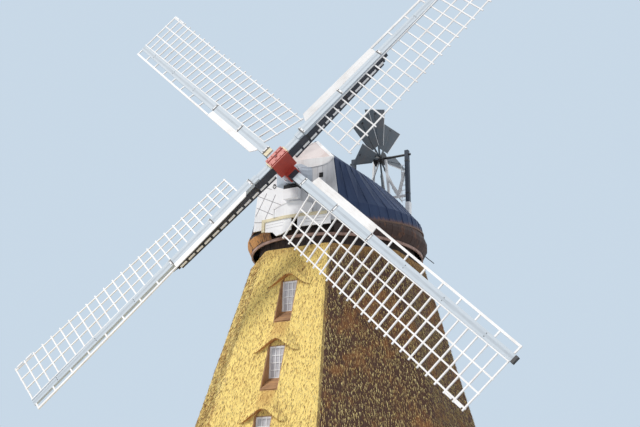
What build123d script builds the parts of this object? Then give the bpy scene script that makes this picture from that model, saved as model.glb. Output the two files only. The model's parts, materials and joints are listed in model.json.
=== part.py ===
"""Traditional eight-sided thatched windmill with a turning cap, four sails and a fantail.

Millimetres, +Z up. The origin is on the ground at the tower's axis, and the front,
where the windows stand in a column and the sails turn, faces -Y.
"""
import os
from math import atan2, cos, radians, sin, sqrt, tan

from build123d import *

# General clearances
RUN_GAP = 0.3
JOURNAL_GAP = 0.08

# Four points lie in one plane if the fourth is nearer to it than this
FLAT_TOLERANCE = 0.001

# Tower: an octagon that narrows evenly from the ground to the curb
SIDES = 8
GROUND_RADIUS = 6434.0
CURB_RADIUS = 2847.0
CURB_Z = 12030.0
THATCH_DROP = 610.0
WALL_DEPTH = 420.0
CORNER_ROUND = 420.0
CORNER_FACETS = 4
BASE_WALL_TOP_Z = 900.0
BASE_WALL_DEPTH = 450.0
THATCH_OVERHANG = 90.0
GROUND_FLOOR_T = 120.0
FLOOR_T = 70.0
FLOOR_ZS = (3960.0, 6160.0, 8360.0)

# Curb: the boarded band above the thatch and the ring that the cap turns on
RING_SIDES = 32
CURB_BAND_RADIUS = 2680.0
CURB_BAND_T = 60.0
CURB_RING_OUTER = 2600.0
CURB_RING_INNER = 2200.0
CURB_RING_H = 260.0
CURB_PLATE_DROP = 60.0

# Windows: one column on the front and one on the rear
WINDOW_HEAD_ZS = (5800.0, 8000.0, 10200.0)
WINDOW_W = 560.0
WINDOW_H = 1000.0
WINDOW_RECESS = 60.0
ARCH_FACETS = 6
SASH_T = 60.0
SASH_BAR = 55.0
GLASS_T = 6.0
LINING_T = 30.0
LINING_PAST_SASH = 40.0
SILL_DROP = 380.0
HOOD_RISE = 190.0
HOOD_TAIL_DROP = 190.0
HOOD_HALF_W = 800.0
HOOD_SWELL = 170.0
HOOD_LENGTH = 620.0
HOOD_STATIONS = 10
HOOD_TAIL_SWELL = 0.12
HOOD_TAIL_LENGTH = 0.4
HOOD_SHOULDER = 0.85

# Doors: a pair of leaves at ground level, front and rear
DOOR_W = 1500.0
DOOR_H = 2300.0
DOOR_FRAME_BAR = 110.0
DOOR_FRAME_T = 110.0
DOOR_LEAF_T = 50.0
DOOR_LEAF_SET_IN = 40.0

# Cap: ring, beams and deck
CAP_RING_OUTER = 2560.0
CAP_RING_INNER = 2240.0
CAP_RING_H = 220.0
SHEER_X = 1150.0
SHEER_W = 280.0
SHEER_H = 350.0
SHEER_FRONT_Y = -2780.0
SHEER_REAR_Y = 3720.0
DECK_T = 60.0
DECK_HOLE_RADIUS = 2000.0

# Cap: heights of the roof above the curb; the eave rises towards the rear
EAVE_RISE = 390.0
EAVE_SLOPE = 0.10
KNUCKLE_RISE = 790.0
BREAK_RISE = 2240.0
RIDGE_RISE = 3470.0
RIDGE_FALL = 300.0

# Cap: plan of the roof at the eave, at the knuckle over it and at the break
FRONT_Y = -2870.0
FLARE_FRONT_Y = -1700.0
FLARE_REAR_Y = 2150.0
EAVE_RADIUS = 3100.0
EAVE_FRONT_X = 1610.0
EAVE_REAR_X = 1640.0
EAVE_REAR_Y = 2950.0
KNUCKLE_RADIUS = 2930.0
KNUCKLE_FRONT_X = 1560.0
KNUCKLE_REAR_X = 1600.0
KNUCKLE_REAR_Y = 2975.0
BREAK_FRONT_X = 1350.0
BREAK_MID_X = 1580.0
BREAK_REAR_X = 1340.0
BREAK_REAR_Y = 3180.0
RIDGE_FRONT_Y = -1750.0
RIDGE_REAR_Y = 1250.0
RIDGE_HALF_W = 40.0
RIDGE_ROLL_RADIUS = 60.0
RIDGE_ROLL_SINK = 30.0
ROOF_T = 50.0
ROOF_BAYS = 10

# Skirt: the bulging boarded petticoat that covers the curb
SKIRT_BOARDS = 40
SKIRT_TOP_RADIUS = 2900.0
SKIRT_UPPER_RADIUS = 3010.0
SKIRT_UPPER_RISE = 370.0
SKIRT_BULGE_RADIUS = 3100.0
SKIRT_BULGE_TOP_RISE = 150.0
SKIRT_BULGE_FOOT_RISE = 10.0
SKIRT_FOOT_RADIUS = 2975.0
SKIRT_FOOT_DROP = 250.0
SKIRT_T = 30.0
SKIRT_GAP_X = 1330.0
HEM_H = 90.0
HEM_T = 55.0

# Breast: the boarded front of the cap, a flat middle between two canted sides
BREAST_T = 50.0
BREAST_FLAT_X = 300.0
BREAST_PROW = 180.0
BREAST_FOOT_RISE = 70.0
NOTCH_RISE = 310.0
NOTCH_HALF_W = 1200.0
SHAFT_HOLE_RADIUS = 400.0
MOULDING_RISE = 280.0
MOULDING_HALF_W = 1210.0
MOULDING_H = 100.0
MOULDING_T = 70.0
MOULDING_POST_W = 120.0
MOULDING_POST_DROP = 320.0
BOARD_T = 40.0
BOARD_DROP = 330.0
BOARD_SAG = 200.0
BOARD_BREAKS = ((0.30, 0.25), (0.44, 1.00), (0.68, 0.85), (0.88, 0.40))
LEFT_BOARD_X = (-1070.0, -30.0)
RIGHT_BOARD_X = (210.0, 1340.0)
NAME_HALF_W = 720.0
NAME_SIDE_H = 300.0
NAME_H = 470.0
HATCH_HALF_W = 270.0
HATCH_RISE = 890.0
HATCH_H = 350.0
HATCH_D = 200.0
HATCH_T = 30.0
VALANCE_DROP = 300.0
VALANCE_EDGE = 60.0
VALANCE_T = 35.0

# Windshaft: its axis rises towards the sails, through a cone on the breast
HUB_Y = -4206.0
HUB_RISE = 1982.0
SHAFT_TILT = 14.0
SHAFT_RADIUS = 285.0
SHAFT_SIDES = 16
NECK_RADIUS = 240.0
TAIL_RADIUS = 120.0
NECK_Y = -2450.0
TAIL_Y = 1600.0
JOURNAL_END_GAP = 12.0
BEAM_W = 320.0
NECK_BEAM_PAST = 100.0
NECK_BEAM_H = 480.0
CHOCK_HALF_W = 420.0
TAIL_BEAM_H = 380.0
COLLAR_HALF_W = 700.0
COLLAR_FOOT_RISE = 1340.0
COLLAR_TOP_RISE = 2170.0
COLLAR_SQUARENESS = 1.2
COLLAR_SEAT = 60.0
COLLAR_NOSE_RADIUS = 345.0
COLLAR_GAP = 18.0
COLLAR_T = 27.0
COLLAR_NOSE_W = 960.0

# Poll end: two crossed cells of cast iron, one for each stock
CELL_HALF_L = 346.0
CELL_HALF_W = 210.0
POLL_FRONT = 26.0
POLL_SPLIT = 600.0
POLL_REAR = 930.0
FLANGE_T = 24.0
FLANGE_W = 120.0
FLANGE_EDGES = (210.0, -40.0)

# Sails: two stocks crossed through the poll end, a whip and a lattice on each arm
SAIL_PHASE = 47.2
SAIL_RADIUS = 10800.0
STOCK_OFFSET = 540.0
STOCK_W = 330.0
STOCK_T = 290.0
STOCK_END_W = 200.0
STOCK_END_T = 170.0
STOCK_HALF_LEN = 4900.0
WHIP_ROOT_R = 1150.0
WHIP_W = 330.0
WHIP_END_W = 220.0
WHIP_T = 130.0
WHIP_END_T = 80.0
NECK_PIECE_ROOT_RS = (900.0, 680.0)
NECK_PIECE_WS = (270.0, 300.0)
NECK_PIECE_T = 90.0
LATTICE_ROOT_R = 1655.0
LATTICE_BAYS = 24
LATTICE_OFFSET = 200.0
LATTICE_W = 1545.0
LATTICE_NUB = 70.0
RUNG_T = 42.0
UPLONG_T = 34.0
UPLONG_W = 44.0
UPLONG_SHARES = (1 / 3, 2 / 3, 1.0)
ROOT_TWIST = 18.0
TIP_TWIST = 0.6
BOARD_ROOT_R = 1750.0
BOARD_SLANT = 260.0
BOARD_END_R = 5950.0
WINDBOARD_W = 330.0
WINDBOARD_T = 25.0
RAIL_T = 50.0
RAIL_POSTS = 7
POST_T = 30.0

# Fantail: a wheel of boards on a cross shaft above the rear of the cap
FAN_Y = 3370.0
FAN_RISE = 4730.0
FAN_RADIUS = 2000.0
FAN_BLADES = 8
FAN_PHASE = 15.0
FAN_POST_X = 1150.0
FAN_POST_W = 150.0
FAN_POST_FOOT_Y = 3600.0
FAN_POST_OVER = 170.0
FAN_SHAFT_RADIUS = 45.0
FAN_HUB_RADIUS = 150.0
FAN_HUB_SIDES = 16
FAN_HUB_W = 320.0
BLADE_ROOT_R = 560.0
BLADE_ROOT_W = 420.0
BLADE_TIP_W = 900.0
BLADE_T = 22.0
BLADE_PITCH = -35.0
ARM_W = 60.0
ARM_SHORT = 200.0

# Fan trestle: struts between the posts, in the plane that the posts lean in
STRUT_W = 80.0
STRUT_T = 90.0
CROSSBEAM_DROP = 2400.0
CROSSBEAM_H = 120.0
TIE_DROP = 1600.0
LEG_TOP_X = 250.0
LEG_FOOT_X = 420.0
LEG_GAP = 8.0
BRACE_DROP = 760.0
BRACE_FOOT_X = 740.0

SIDE_NAMES = (
    "front",
    "front_right",
    "right",
    "rear_right",
    "rear",
    "rear_left",
    "left",
    "front_left",
)
HALF_SIDE = 180.0 / SIDES
FLAT = cos(radians(HALF_SIDE))
BATTER = (GROUND_RADIUS - CURB_RADIUS) / CURB_Z
FAR = 20000.0
TILT = radians(SHAFT_TILT)
THATCH_TOP_Z = CURB_Z - THATCH_DROP
SHEER_Z = CURB_Z + RUN_GAP + CAP_RING_H
DECK_Z = SHEER_Z + SHEER_H
DECK_TOP = DECK_Z + DECK_T
EAVE_Z = CURB_Z + EAVE_RISE
KNUCKLE_Z = CURB_Z + KNUCKLE_RISE
BREAK_Z = CURB_Z + BREAK_RISE
RIDGE_Z = CURB_Z + RIDGE_RISE
HUB_Z = CURB_Z + HUB_RISE
FAN_Z = CURB_Z + FAN_RISE
SKIRT_FOOT_Z = CURB_Z - SKIRT_FOOT_DROP
MOULDING_Z = CURB_Z + MOULDING_RISE
WHIP_BACK = -WHIP_T / 2
STOCK_FRONT = WHIP_BACK - RUN_GAP


def wall_flat(z):
    """Distance from the axis to the outer face of the thatch at height z."""
    return (GROUND_RADIUS - BATTER * z) * FLAT


def polygon(points):
    """Flat face between straight edges through the points, in plan or in space."""
    return make_face(Polyline(*points, close=True))


def far_from_middle(point):
    """Sorting value of a ring's point: its distance from the middle along Y, then along X."""
    return round(abs(point[1]), 3), round(abs(point[0]), 3)


def facets(rings):
    """Solid of flat facets through closed rings of as many points each, from foot to top."""
    faces = [Face(Wire.make_polygon(rings[0])), Face(Wire.make_polygon(rings[-1]))]
    for low, high in zip(rings, rings[1:]):
        for i in range(len(low)):
            j = (i + 1) % len(low)
            a, b, c, d = (Vector(*corner) for corner in (low[i], low[j], high[j], high[i]))
            twist = (b - a).cross(c - a).normalized().dot(d - a)
            if abs(twist) < FLAT_TOLERANCE:
                faces.append(Face(Wire.make_polygon([a, b, c, d])))
            elif far_from_middle(low[i]) < far_from_middle(low[j]):
                faces.append(Face(Wire.make_polygon([a, b, d])))
                faces.append(Face(Wire.make_polygon([b, c, d])))
            else:
                faces.append(Face(Wire.make_polygon([a, b, c])))
                faces.append(Face(Wire.make_polygon([a, c, d])))
    return Solid(Shell(faces))


def regular_ring(radius, z, sides, turn=0.0):
    """Corners of a regular polygon about the tower's axis."""
    angles = [radians(turn + i * 360 / sides) for i in range(sides)]
    return [(radius * cos(angle), radius * sin(angle), z) for angle in angles]


def octagon(flat, z):
    """Corners of an octagon whose flats lie at the given distance from the axis."""
    return regular_ring(flat / FLAT, z, SIDES, HALF_SIDE)


def frustum(inset, z0, z1):
    """Octagonal frustum that follows the thatch's batter, set in by inset."""
    return facets([octagon(wall_flat(z0) - inset, z0), octagon(wall_flat(z1) - inset, z1)])


def rounded_octagon(z):
    """Plan of the thatch at one height, with each corner rounded in a few facets."""
    centre_r = (wall_flat(z) - CORNER_ROUND) / FLAT
    points = []
    for i in range(SIDES):
        corner = (i + 0.5) * 2 * HALF_SIDE
        for k in range(CORNER_FACETS + 1):
            turn = radians(corner - HALF_SIDE + k * 2 * HALF_SIDE / CORNER_FACETS)
            x = centre_r * cos(radians(corner)) + CORNER_ROUND * cos(turn)
            y = centre_r * sin(radians(corner)) + CORNER_ROUND * sin(turn)
            points.append((x, y, z))
    return points


def sector(turn, z0, z1):
    """Wedge from the axis over one side of the octagon."""
    corners = [(0, 0)]
    for step in (-HALF_SIDE, HALF_SIDE):
        angle = radians(turn - 90 + step)
        corners.append((FAR * cos(angle), FAR * sin(angle)))
    return extrude(Plane.XY.offset(z0) * make_face(Polyline(*corners, close=True)), z1 - z0)


def box(x0, x1, y0, y1, z0, z1):
    """Box between two corners."""
    size = (x1 - x0, y1 - y0, z1 - z0)
    return Pos((x0 + x1) / 2, (y0 + y1) / 2, (z0 + z1) / 2) * Box(*size)


def half_turned(shape):
    """The same piece on the opposite side of the tower."""
    return Rot(0, 0, 180) * shape


def group(solids):
    """Several separate solids kept as one compound."""
    return Compound(children=[part for shape in solids for part in shape.solids()])


def slab_across(points, half=FAR):
    """Prism along X from a section given as (y, z) points."""
    return extrude(Plane.YZ * polygon(points), half, both=True)


def slab_through(points):
    """Prism along Y from an outline given as (x, z) points."""
    return extrude(Plane.XZ * polygon(points), FAR, both=True)


def window_plane_y(head_z):
    """Front face of the sash under the given head."""
    return -wall_flat(head_z) + WINDOW_RECESS


def arch_points(half, spring_z, rise):
    """Points of a flat arch from its right spring over the crown to its left one."""
    radius = (half * half + rise * rise) / (2 * rise)
    reach = atan2(half, radius - rise)
    points = []
    for k in range(ARCH_FACETS + 1):
        turn = reach * (1 - 2 * k / ARCH_FACETS)
        points.append((radius * sin(turn), spring_z + rise - radius * (1 - cos(turn))))
    return points


def window_recess(head_z, grow, y_inner):
    """Space of one window: arched head and sloping sill outside the sash."""
    front = window_plane_y(head_z)
    foot_z = head_z - WINDOW_H
    half = WINDOW_W / 2 + grow
    low = foot_z - 2 * SILL_DROP
    outline = [(-half, low), (half, low)] + arch_points(half, head_z, HOOD_RISE + grow)
    outer = slab_through(outline) & box(-FAR, FAR, -FAR, front, 0, FAR)
    run = wall_flat(foot_z - SILL_DROP) + front
    under = [
        (front, foot_z - grow),
        (front - 3 * run, foot_z - 3 * SILL_DROP - grow),
        (front - 3 * run, -FAR),
        (front, -FAR),
    ]
    through = box(-half, half, front, y_inner, foot_z - grow, head_z + grow)
    return (outer - slab_across(under)) + through


def window_lining(head_z):
    """Boarded reveal round one window, down its sloping sill."""
    back = window_plane_y(head_z) + SASH_T + LINING_PAST_SASH
    shell = window_recess(head_z, LINING_T, back) - window_recess(head_z, 0, FAR)
    return shell & frustum(LINING_T / 4, THATCH_TOP_Z - 1, BASE_WALL_TOP_Z + 1)


def window_sash(head_z):
    """Outer frame of one window."""
    y0 = window_plane_y(head_z)
    y1 = y0 + SASH_T
    half = WINDOW_W / 2 - RUN_GAP
    foot_z = head_z - WINDOW_H + RUN_GAP
    top_z = head_z - RUN_GAP
    frame = box(-half, half, y0, y1, foot_z, top_z)
    return frame - box(-half + SASH_BAR, half - SASH_BAR, y0 - 1, y1 + 1, foot_z + SASH_BAR, top_z - SASH_BAR)


def window_glass(head_z):
    """Pane that fills one sash."""
    y_mid = window_plane_y(head_z) + SASH_T / 2
    half = WINDOW_W / 2 - RUN_GAP - SASH_BAR
    low = head_z - WINDOW_H + RUN_GAP + SASH_BAR
    high = head_z - RUN_GAP - SASH_BAR
    return box(-half, half, y_mid - GLASS_T / 2, y_mid + GLASS_T / 2, low, high)


def hood_section(head_z, share):
    """Section of the eyebrow at a share of its half width: flat below, swelling, then flush."""
    x = share * HOOD_HALF_W
    bend = (1 - cos(radians(180 * share))) / 2
    fade = 1 - share * share
    low = head_z + HOOD_RISE - (HOOD_RISE + HOOD_TAIL_DROP) * bend
    swell = HOOD_SWELL * (HOOD_TAIL_SWELL + (1 - HOOD_TAIL_SWELL) * fade)
    length = HOOD_LENGTH * (HOOD_TAIL_LENGTH + (1 - HOOD_TAIL_LENGTH) * fade)
    mid = low + length / 3
    high = low + length
    sunk = WALL_DEPTH / 4
    return [
        (x, -wall_flat(low) + sunk, low),
        (x, -wall_flat(low) - swell, low),
        (x, -wall_flat(mid) - swell * HOOD_SHOULDER, mid),
        (x, -wall_flat(high), high),
        (x, -wall_flat(high) + sunk, high),
    ]


def hood(head_z):
    """Eyebrow of thatch that rises over one window and dies away in two tails."""
    shares = [2 * k / HOOD_STATIONS - 1 for k in range(HOOD_STATIONS + 1)]
    return facets([hood_section(head_z, share) for share in shares])


def base_flat(depth=0.0):
    """Distance from the axis to a masonry face at the given depth in the wall."""
    return wall_flat(BASE_WALL_TOP_Z) - THATCH_OVERHANG - depth


def door_y():
    """Outer face of the door frame, whose back is flush with the masonry inside."""
    return -base_flat(BASE_WALL_DEPTH) - DOOR_FRAME_T


def doorway():
    """Space of the front doorway."""
    half = DOOR_W / 2 + DOOR_FRAME_BAR
    inner_y = -base_flat(BASE_WALL_DEPTH) / 2
    return box(-half, half, -FAR, inner_y, -1, GROUND_FLOOR_T + DOOR_H + DOOR_FRAME_BAR)


def thatch_panel(opened):
    """Front side of the thatched body, with its openings where it has them."""
    core = frustum(WALL_DEPTH, BASE_WALL_TOP_Z - 5, THATCH_TOP_Z + 5)
    outer = facets([rounded_octagon(BASE_WALL_TOP_Z), rounded_octagon(THATCH_TOP_Z)])
    panel = (outer - core) & sector(0, 0, FAR)
    if not opened:
        return panel
    for z in WINDOW_HEAD_ZS:
        panel = panel + hood(z)
    for z in WINDOW_HEAD_ZS:
        panel = panel - window_recess(z, LINING_T, 0)
    return panel - doorway()


def base_wall():
    """Masonry under the thatch, open at both doorways."""
    outer = extrude(polygon(octagon(base_flat(), 0)), BASE_WALL_TOP_Z)
    inner = extrude(polygon(octagon(base_flat(BASE_WALL_DEPTH), -1)), BASE_WALL_TOP_Z + 2)
    wall = outer - inner - doorway() - half_turned(doorway())
    return group(wall.solids())


def ground_floor():
    """Floor slab inside the masonry."""
    return extrude(polygon(octagon(base_flat(BASE_WALL_DEPTH) - RUN_GAP, 0)), GROUND_FLOOR_T)


def upper_floor(z):
    """Boarded floor that ends at the inner face of the wall."""
    return frustum(WALL_DEPTH + RUN_GAP, z, z + FLOOR_T)


def door_frame():
    """Posts and head of the front doorway."""
    y0 = door_y()
    half = DOOR_W / 2 + DOOR_FRAME_BAR - RUN_GAP
    top = GROUND_FLOOR_T + DOOR_H + DOOR_FRAME_BAR - RUN_GAP
    frame = box(-half, half, y0, y0 + DOOR_FRAME_T, 0, top)
    return frame - box(-DOOR_W / 2, DOOR_W / 2, y0 - 1, y0 + DOOR_FRAME_T + 1, -1, GROUND_FLOOR_T + DOOR_H)


def door_leaves():
    """Two closed leaves of the front doorway."""
    y0 = door_y() + DOOR_LEAF_SET_IN
    half = DOOR_W / 2 - RUN_GAP
    low = GROUND_FLOOR_T
    high = GROUND_FLOOR_T + DOOR_H - RUN_GAP
    left = box(-half, -RUN_GAP, y0, y0 + DOOR_LEAF_T, low, high)
    right = box(RUN_GAP, half, y0, y0 + DOOR_LEAF_T, low, high)
    return [left, right]


def door_step():
    """Stone threshold under the leaves."""
    y0 = door_y()
    half = DOOR_W / 2 - RUN_GAP
    return box(-half, half, y0, y0 + DOOR_FRAME_T, 0, GROUND_FLOOR_T)


def many_sided(radius, z0, z1, sides=RING_SIDES):
    """Upright prism of many sides about the tower's axis."""
    return extrude(Plane.XY.offset(z0) * RegularPolygon(radius, sides), z1 - z0)


def ring(outer, inner, z0, z1, sides=RING_SIDES):
    """Flat ring of straight timbers about the tower's axis."""
    return many_sided(outer, z0, z1, sides) - many_sided(inner, z0 - 1, z1 + 1, sides)


def curb_band():
    """Upright boards between the thatch and the curb."""
    return ring(CURB_BAND_RADIUS, CURB_BAND_RADIUS - CURB_BAND_T, THATCH_TOP_Z, CURB_Z)


def curb_ring():
    """Timber ring on which the cap turns, with the plate that carries it."""
    top = ring(CURB_RING_OUTER, CURB_RING_INNER, CURB_Z - CURB_RING_H, CURB_Z)
    plate_z = CURB_Z - CURB_PLATE_DROP
    return top + ring(CURB_BAND_RADIUS - CURB_BAND_T, CURB_RING_INNER, CURB_Z - CURB_RING_H, plate_z)


def flared_x(y, radius, front, rear):
    """Half width of a circular plan that runs straight to its front and rear corners."""
    if y < FLARE_FRONT_Y:
        corner_x, corner_y = front
        bend_y = FLARE_FRONT_Y
    elif y > FLARE_REAR_Y:
        corner_x, corner_y = rear
        bend_y = FLARE_REAR_Y
    else:
        return sqrt(radius * radius - y * y)
    bend_x = sqrt(radius * radius - bend_y * bend_y)
    share = (y - bend_y) / (corner_y - bend_y)
    return bend_x + (corner_x - bend_x) * share


def bowed_x(y, rear_y):
    """Half width of the plan at the break of the roof: a shallow bow."""
    corner_x = BREAK_FRONT_X if y < 0 else BREAK_REAR_X
    corner_y = FRONT_Y if y < 0 else rear_y
    share = y / corner_y
    return BREAK_MID_X - (BREAK_MID_X - corner_x) * share * share


def eave_x(y):
    """Half width of the cap at the curb's height, below its eave."""
    return flared_x(y, EAVE_RADIUS, (EAVE_FRONT_X, FRONT_Y), (EAVE_REAR_X, EAVE_REAR_Y))


def knuckle_x(y):
    """Half width of the cap at the knuckle over the eave."""
    return flared_x(y, KNUCKLE_RADIUS, (KNUCKLE_FRONT_X, FRONT_Y), (KNUCKLE_REAR_X, KNUCKLE_REAR_Y))


def break_x(y):
    """Half width of the cap at the break of the roof."""
    return bowed_x(y, BREAK_REAR_Y)


def plan(width, rear_y, z, inset=0.0, front=0.0, rear=0.0):
    """Plan of the cap at one height, its ends moved in by front and rear."""
    right = []
    for k in range(ROOF_BAYS + 1):
        share = k / ROOF_BAYS
        y = FRONT_Y + (rear_y - FRONT_Y) * share
        shifted = FRONT_Y + front + (rear_y - rear - FRONT_Y - front) * share
        right.append((width(y) - inset, shifted, z))
    left = [(-x, y, z) for x, y, z in reversed(right)]
    return right + left


def roof_body(**ends):
    """Block from below the eave over the knuckle to the break of the roof."""
    sections = [
        plan(eave_x, EAVE_REAR_Y, CURB_Z, **ends),
        plan(knuckle_x, KNUCKLE_REAR_Y, KNUCKLE_Z, **ends),
        plan(break_x, BREAK_REAR_Y, BREAK_Z, **ends),
    ]
    return facets(sections)


def eave_line(side):
    """Half space under the sloping eave, or over it."""
    front_z = EAVE_Z - EAVE_SLOPE * FAR
    rear_z = EAVE_Z + EAVE_SLOPE * FAR
    end_z = EAVE_Z + side * FAR
    return slab_across([(-FAR, front_z), (FAR, rear_z), (FAR, end_z), (-FAR, end_z)])


def roof_lower():
    """Steep lower slopes, open at both ends, down to the sloping eave."""
    shell = roof_body() - roof_body(inset=ROOF_T, front=-ROOF_T, rear=-ROOF_T)
    return shell - eave_line(-1)


def rear_wall():
    """Wall that closes the cap behind, between the lower slopes, standing on the deck."""
    space = roof_body(inset=ROOF_T + RUN_GAP, front=-ROOF_T)
    wall = space - roof_body(inset=-ROOF_T, front=-2 * ROOF_T, rear=ROOF_T)
    return wall & box(-FAR, FAR, 0, FAR, DECK_TOP, BREAK_Z)


def halves(shape):
    """Left and right halves of a shape that straddles the cap's middle plane."""
    left = shape & box(-FAR, 0, -FAR, FAR, 0, FAR)
    right = shape & box(0, FAR, -FAR, FAR, 0, FAR)
    return left, right


def ridge_plan(inset, drop):
    """Narrow strip of the ridge, which falls towards the rear."""
    y0 = RIDGE_FRONT_Y + inset
    y1 = RIDGE_REAR_Y - inset
    right = []
    for k in range(ROOF_BAYS + 1):
        share = k / ROOF_BAYS
        right.append((RIDGE_HALF_W, y0 + (y1 - y0) * share, RIDGE_Z - drop - RIDGE_FALL * share))
    left = [(-x, y, z) for x, y, z in reversed(right)]
    return right + left


def roof_upper():
    """Upper slopes and both half hips as one shell."""
    outer = facets([plan(break_x, BREAK_REAR_Y, BREAK_Z), ridge_plan(0, 0)])
    low = plan(break_x, BREAK_REAR_Y, BREAK_Z, inset=ROOF_T, front=ROOF_T, rear=ROOF_T)
    return outer - facets([low, ridge_plan(ROOF_T, ROOF_T)])


def hip_prism():
    """Space over the plan of the front half hip."""
    x0 = BREAK_FRONT_X
    x1 = RIDGE_HALF_W
    corners = [(-x0, FRONT_Y), (x0, FRONT_Y), (x1, RIDGE_FRONT_Y), (-x1, RIDGE_FRONT_Y)]
    return extrude(Plane.XY.offset(BREAK_Z - 1) * polygon(corners), RIDGE_Z - BREAK_Z + 2)


def ridge_roll():
    """Low roll that covers the ridge."""
    rise = RIDGE_ROLL_RADIUS - RIDGE_ROLL_SINK
    half = sqrt(RIDGE_ROLL_RADIUS ** 2 - RIDGE_ROLL_SINK ** 2)
    section = [(-half, 0), (half, 0), (half / 2, rise), (-half / 2, rise)]
    spot = Plane(
        origin=(0, RIDGE_FRONT_Y, RIDGE_Z),
        x_dir=(1, 0, 0),
        z_dir=(0, RIDGE_REAR_Y - RIDGE_FRONT_Y, -RIDGE_FALL),
    )
    length = sqrt((RIDGE_REAR_Y - RIDGE_FRONT_Y) ** 2 + RIDGE_FALL ** 2)
    return extrude(spot * polygon([(x, -z) for x, z in section]), length)


def shaft_axis_z(y):
    """Height of the windshaft's axis above a place along the cap."""
    return HUB_Z - (y - HUB_Y) * tan(TILT)


def shaft_plane(y):
    """Plane square to the windshaft with its normal towards the sails."""
    return Plane(origin=(0, y, shaft_axis_z(y)), x_dir=(1, 0, 0), z_dir=(0, -cos(TILT), sin(TILT)))


def shaft_rod(radius, y0, y1):
    """Cylinder along the windshaft's axis from y0 back to y1."""
    length = (y1 - y0) / cos(TILT)
    return extrude(shaft_plane(y1) * Circle(radius), length)


def shaft_bar(radius, y0, y1):
    """Many-sided bar along the windshaft's axis from y0 back to y1."""
    length = (y1 - y0) / cos(TILT)
    return extrude(shaft_plane(y1) * RegularPolygon(radius, SHAFT_SIDES), length)


def front_face(y_shift):
    """Front line of the breast in plan, flat in the middle, moved forward by a shift."""
    edge_x = EAVE_FRONT_X
    edge_y = FRONT_Y - BREAST_T - y_shift
    flat_y = edge_y - BREAST_PROW
    return [(-edge_x, edge_y), (-BREAST_FLAT_X, flat_y), (BREAST_FLAT_X, flat_y), (edge_x, edge_y)]


def front_band(x0, x1, z0, z1, thickness):
    """Board that follows the front of the breast."""
    outer = front_face(thickness)
    inner = list(reversed(front_face(0)))
    band = extrude(Plane.XY.offset(z0) * polygon(outer + inner), z1 - z0)
    return band & box(x0, x1, -FAR, 0, z0 - 1, z1 + 1)


def flat_face_y():
    """Face of the breast's flat middle."""
    return FRONT_Y - BREAST_T - BREAST_PROW


def breast():
    """Front boarding with the shaft's hole, cut away below between two apron panels."""
    low = CURB_Z + BREAST_FOOT_RISE
    top = BREAK_Z - VALANCE_T
    notch_z = CURB_Z + NOTCH_RISE
    line = front_face(0)
    back = [(x, y + BREAST_T) for x, y in reversed(line)]
    wall = extrude(Plane.XY.offset(low) * polygon(line + back), top - low)
    edge = [
        (-EAVE_FRONT_X, low),
        (-NOTCH_HALF_W, low),
        (-NOTCH_HALF_W, notch_z),
        (NOTCH_HALF_W, notch_z),
        (NOTCH_HALF_W, low),
        (EAVE_FRONT_X, low),
        (KNUCKLE_FRONT_X, KNUCKLE_Z),
        (BREAK_FRONT_X, BREAK_Z),
        (-BREAK_FRONT_X, BREAK_Z),
        (-KNUCKLE_FRONT_X, KNUCKLE_Z),
    ]
    return (wall & slab_through(edge)) - shaft_rod(SHAFT_HOLE_RADIUS, HUB_Y, 0)


def cap_ring():
    """Timber ring under the cap's beams, round outside."""
    low = CURB_Z + RUN_GAP
    disc = Pos(0, 0, low + CAP_RING_H / 2) * Cylinder(CAP_RING_OUTER, CAP_RING_H)
    return disc - many_sided(CAP_RING_INNER, low - 1, low + CAP_RING_H + 1)


def sheers():
    """Two long beams that carry the cap and, behind it, the fan posts."""
    beams = []
    for side in (-1, 1):
        x = side * SHEER_X
        beams.append(box(x - SHEER_W / 2, x + SHEER_W / 2, SHEER_FRONT_Y, SHEER_REAR_Y, SHEER_Z, DECK_Z))
    return group(beams)


def cap_deck():
    """Boarded deck inside the roof's foot, which carries the roof and the skirt."""
    plate = roof_body(inset=ROOF_T + RUN_GAP) & box(-FAR, FAR, -FAR, FAR, DECK_Z, DECK_TOP)
    return plate - many_sided(DECK_HOLE_RADIUS, DECK_Z - 1, DECK_TOP + 1)


def shaft_beams():
    """Neck beam under the front journal and tail beam under the rear one."""
    neck_y0 = NECK_Y - BEAM_W / 2
    neck_y1 = NECK_Y + BEAM_W / 2
    neck_half = SHEER_X + NECK_BEAM_PAST
    neck = box(-neck_half, neck_half, neck_y0, neck_y1, DECK_TOP, DECK_TOP + NECK_BEAM_H)
    neck = neck + box(-CHOCK_HALF_W, CHOCK_HALF_W, neck_y0, neck_y1, DECK_TOP, shaft_axis_z(NECK_Y))
    neck = neck - shaft_rod(NECK_RADIUS + JOURNAL_GAP, HUB_Y, 0)
    tail_z = shaft_axis_z(TAIL_Y)
    inner_x = SHEER_X - SHEER_W / 2
    tail = box(-inner_x, inner_x, TAIL_Y - BEAM_W / 2, TAIL_Y + BEAM_W / 2, tail_z - TAIL_BEAM_H, tail_z)
    tail = tail - shaft_rod(TAIL_RADIUS + JOURNAL_GAP, 0, TAIL_Y + BEAM_W)
    return group([neck, tail])


def skirt_form(inset, past):
    """Bulging many-sided form of the skirt, set in, its ends run past top and foot."""
    levels = [
        (SKIRT_FOOT_RADIUS, SKIRT_FOOT_Z - past),
        (SKIRT_BULGE_RADIUS, CURB_Z + SKIRT_BULGE_FOOT_RISE),
        (SKIRT_BULGE_RADIUS, CURB_Z + SKIRT_BULGE_TOP_RISE),
        (SKIRT_UPPER_RADIUS, CURB_Z + SKIRT_UPPER_RISE),
        (SKIRT_TOP_RADIUS, DECK_Z + past),
    ]
    return facets([regular_ring(radius - inset, z, SKIRT_BOARDS) for radius, z in levels])


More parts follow.
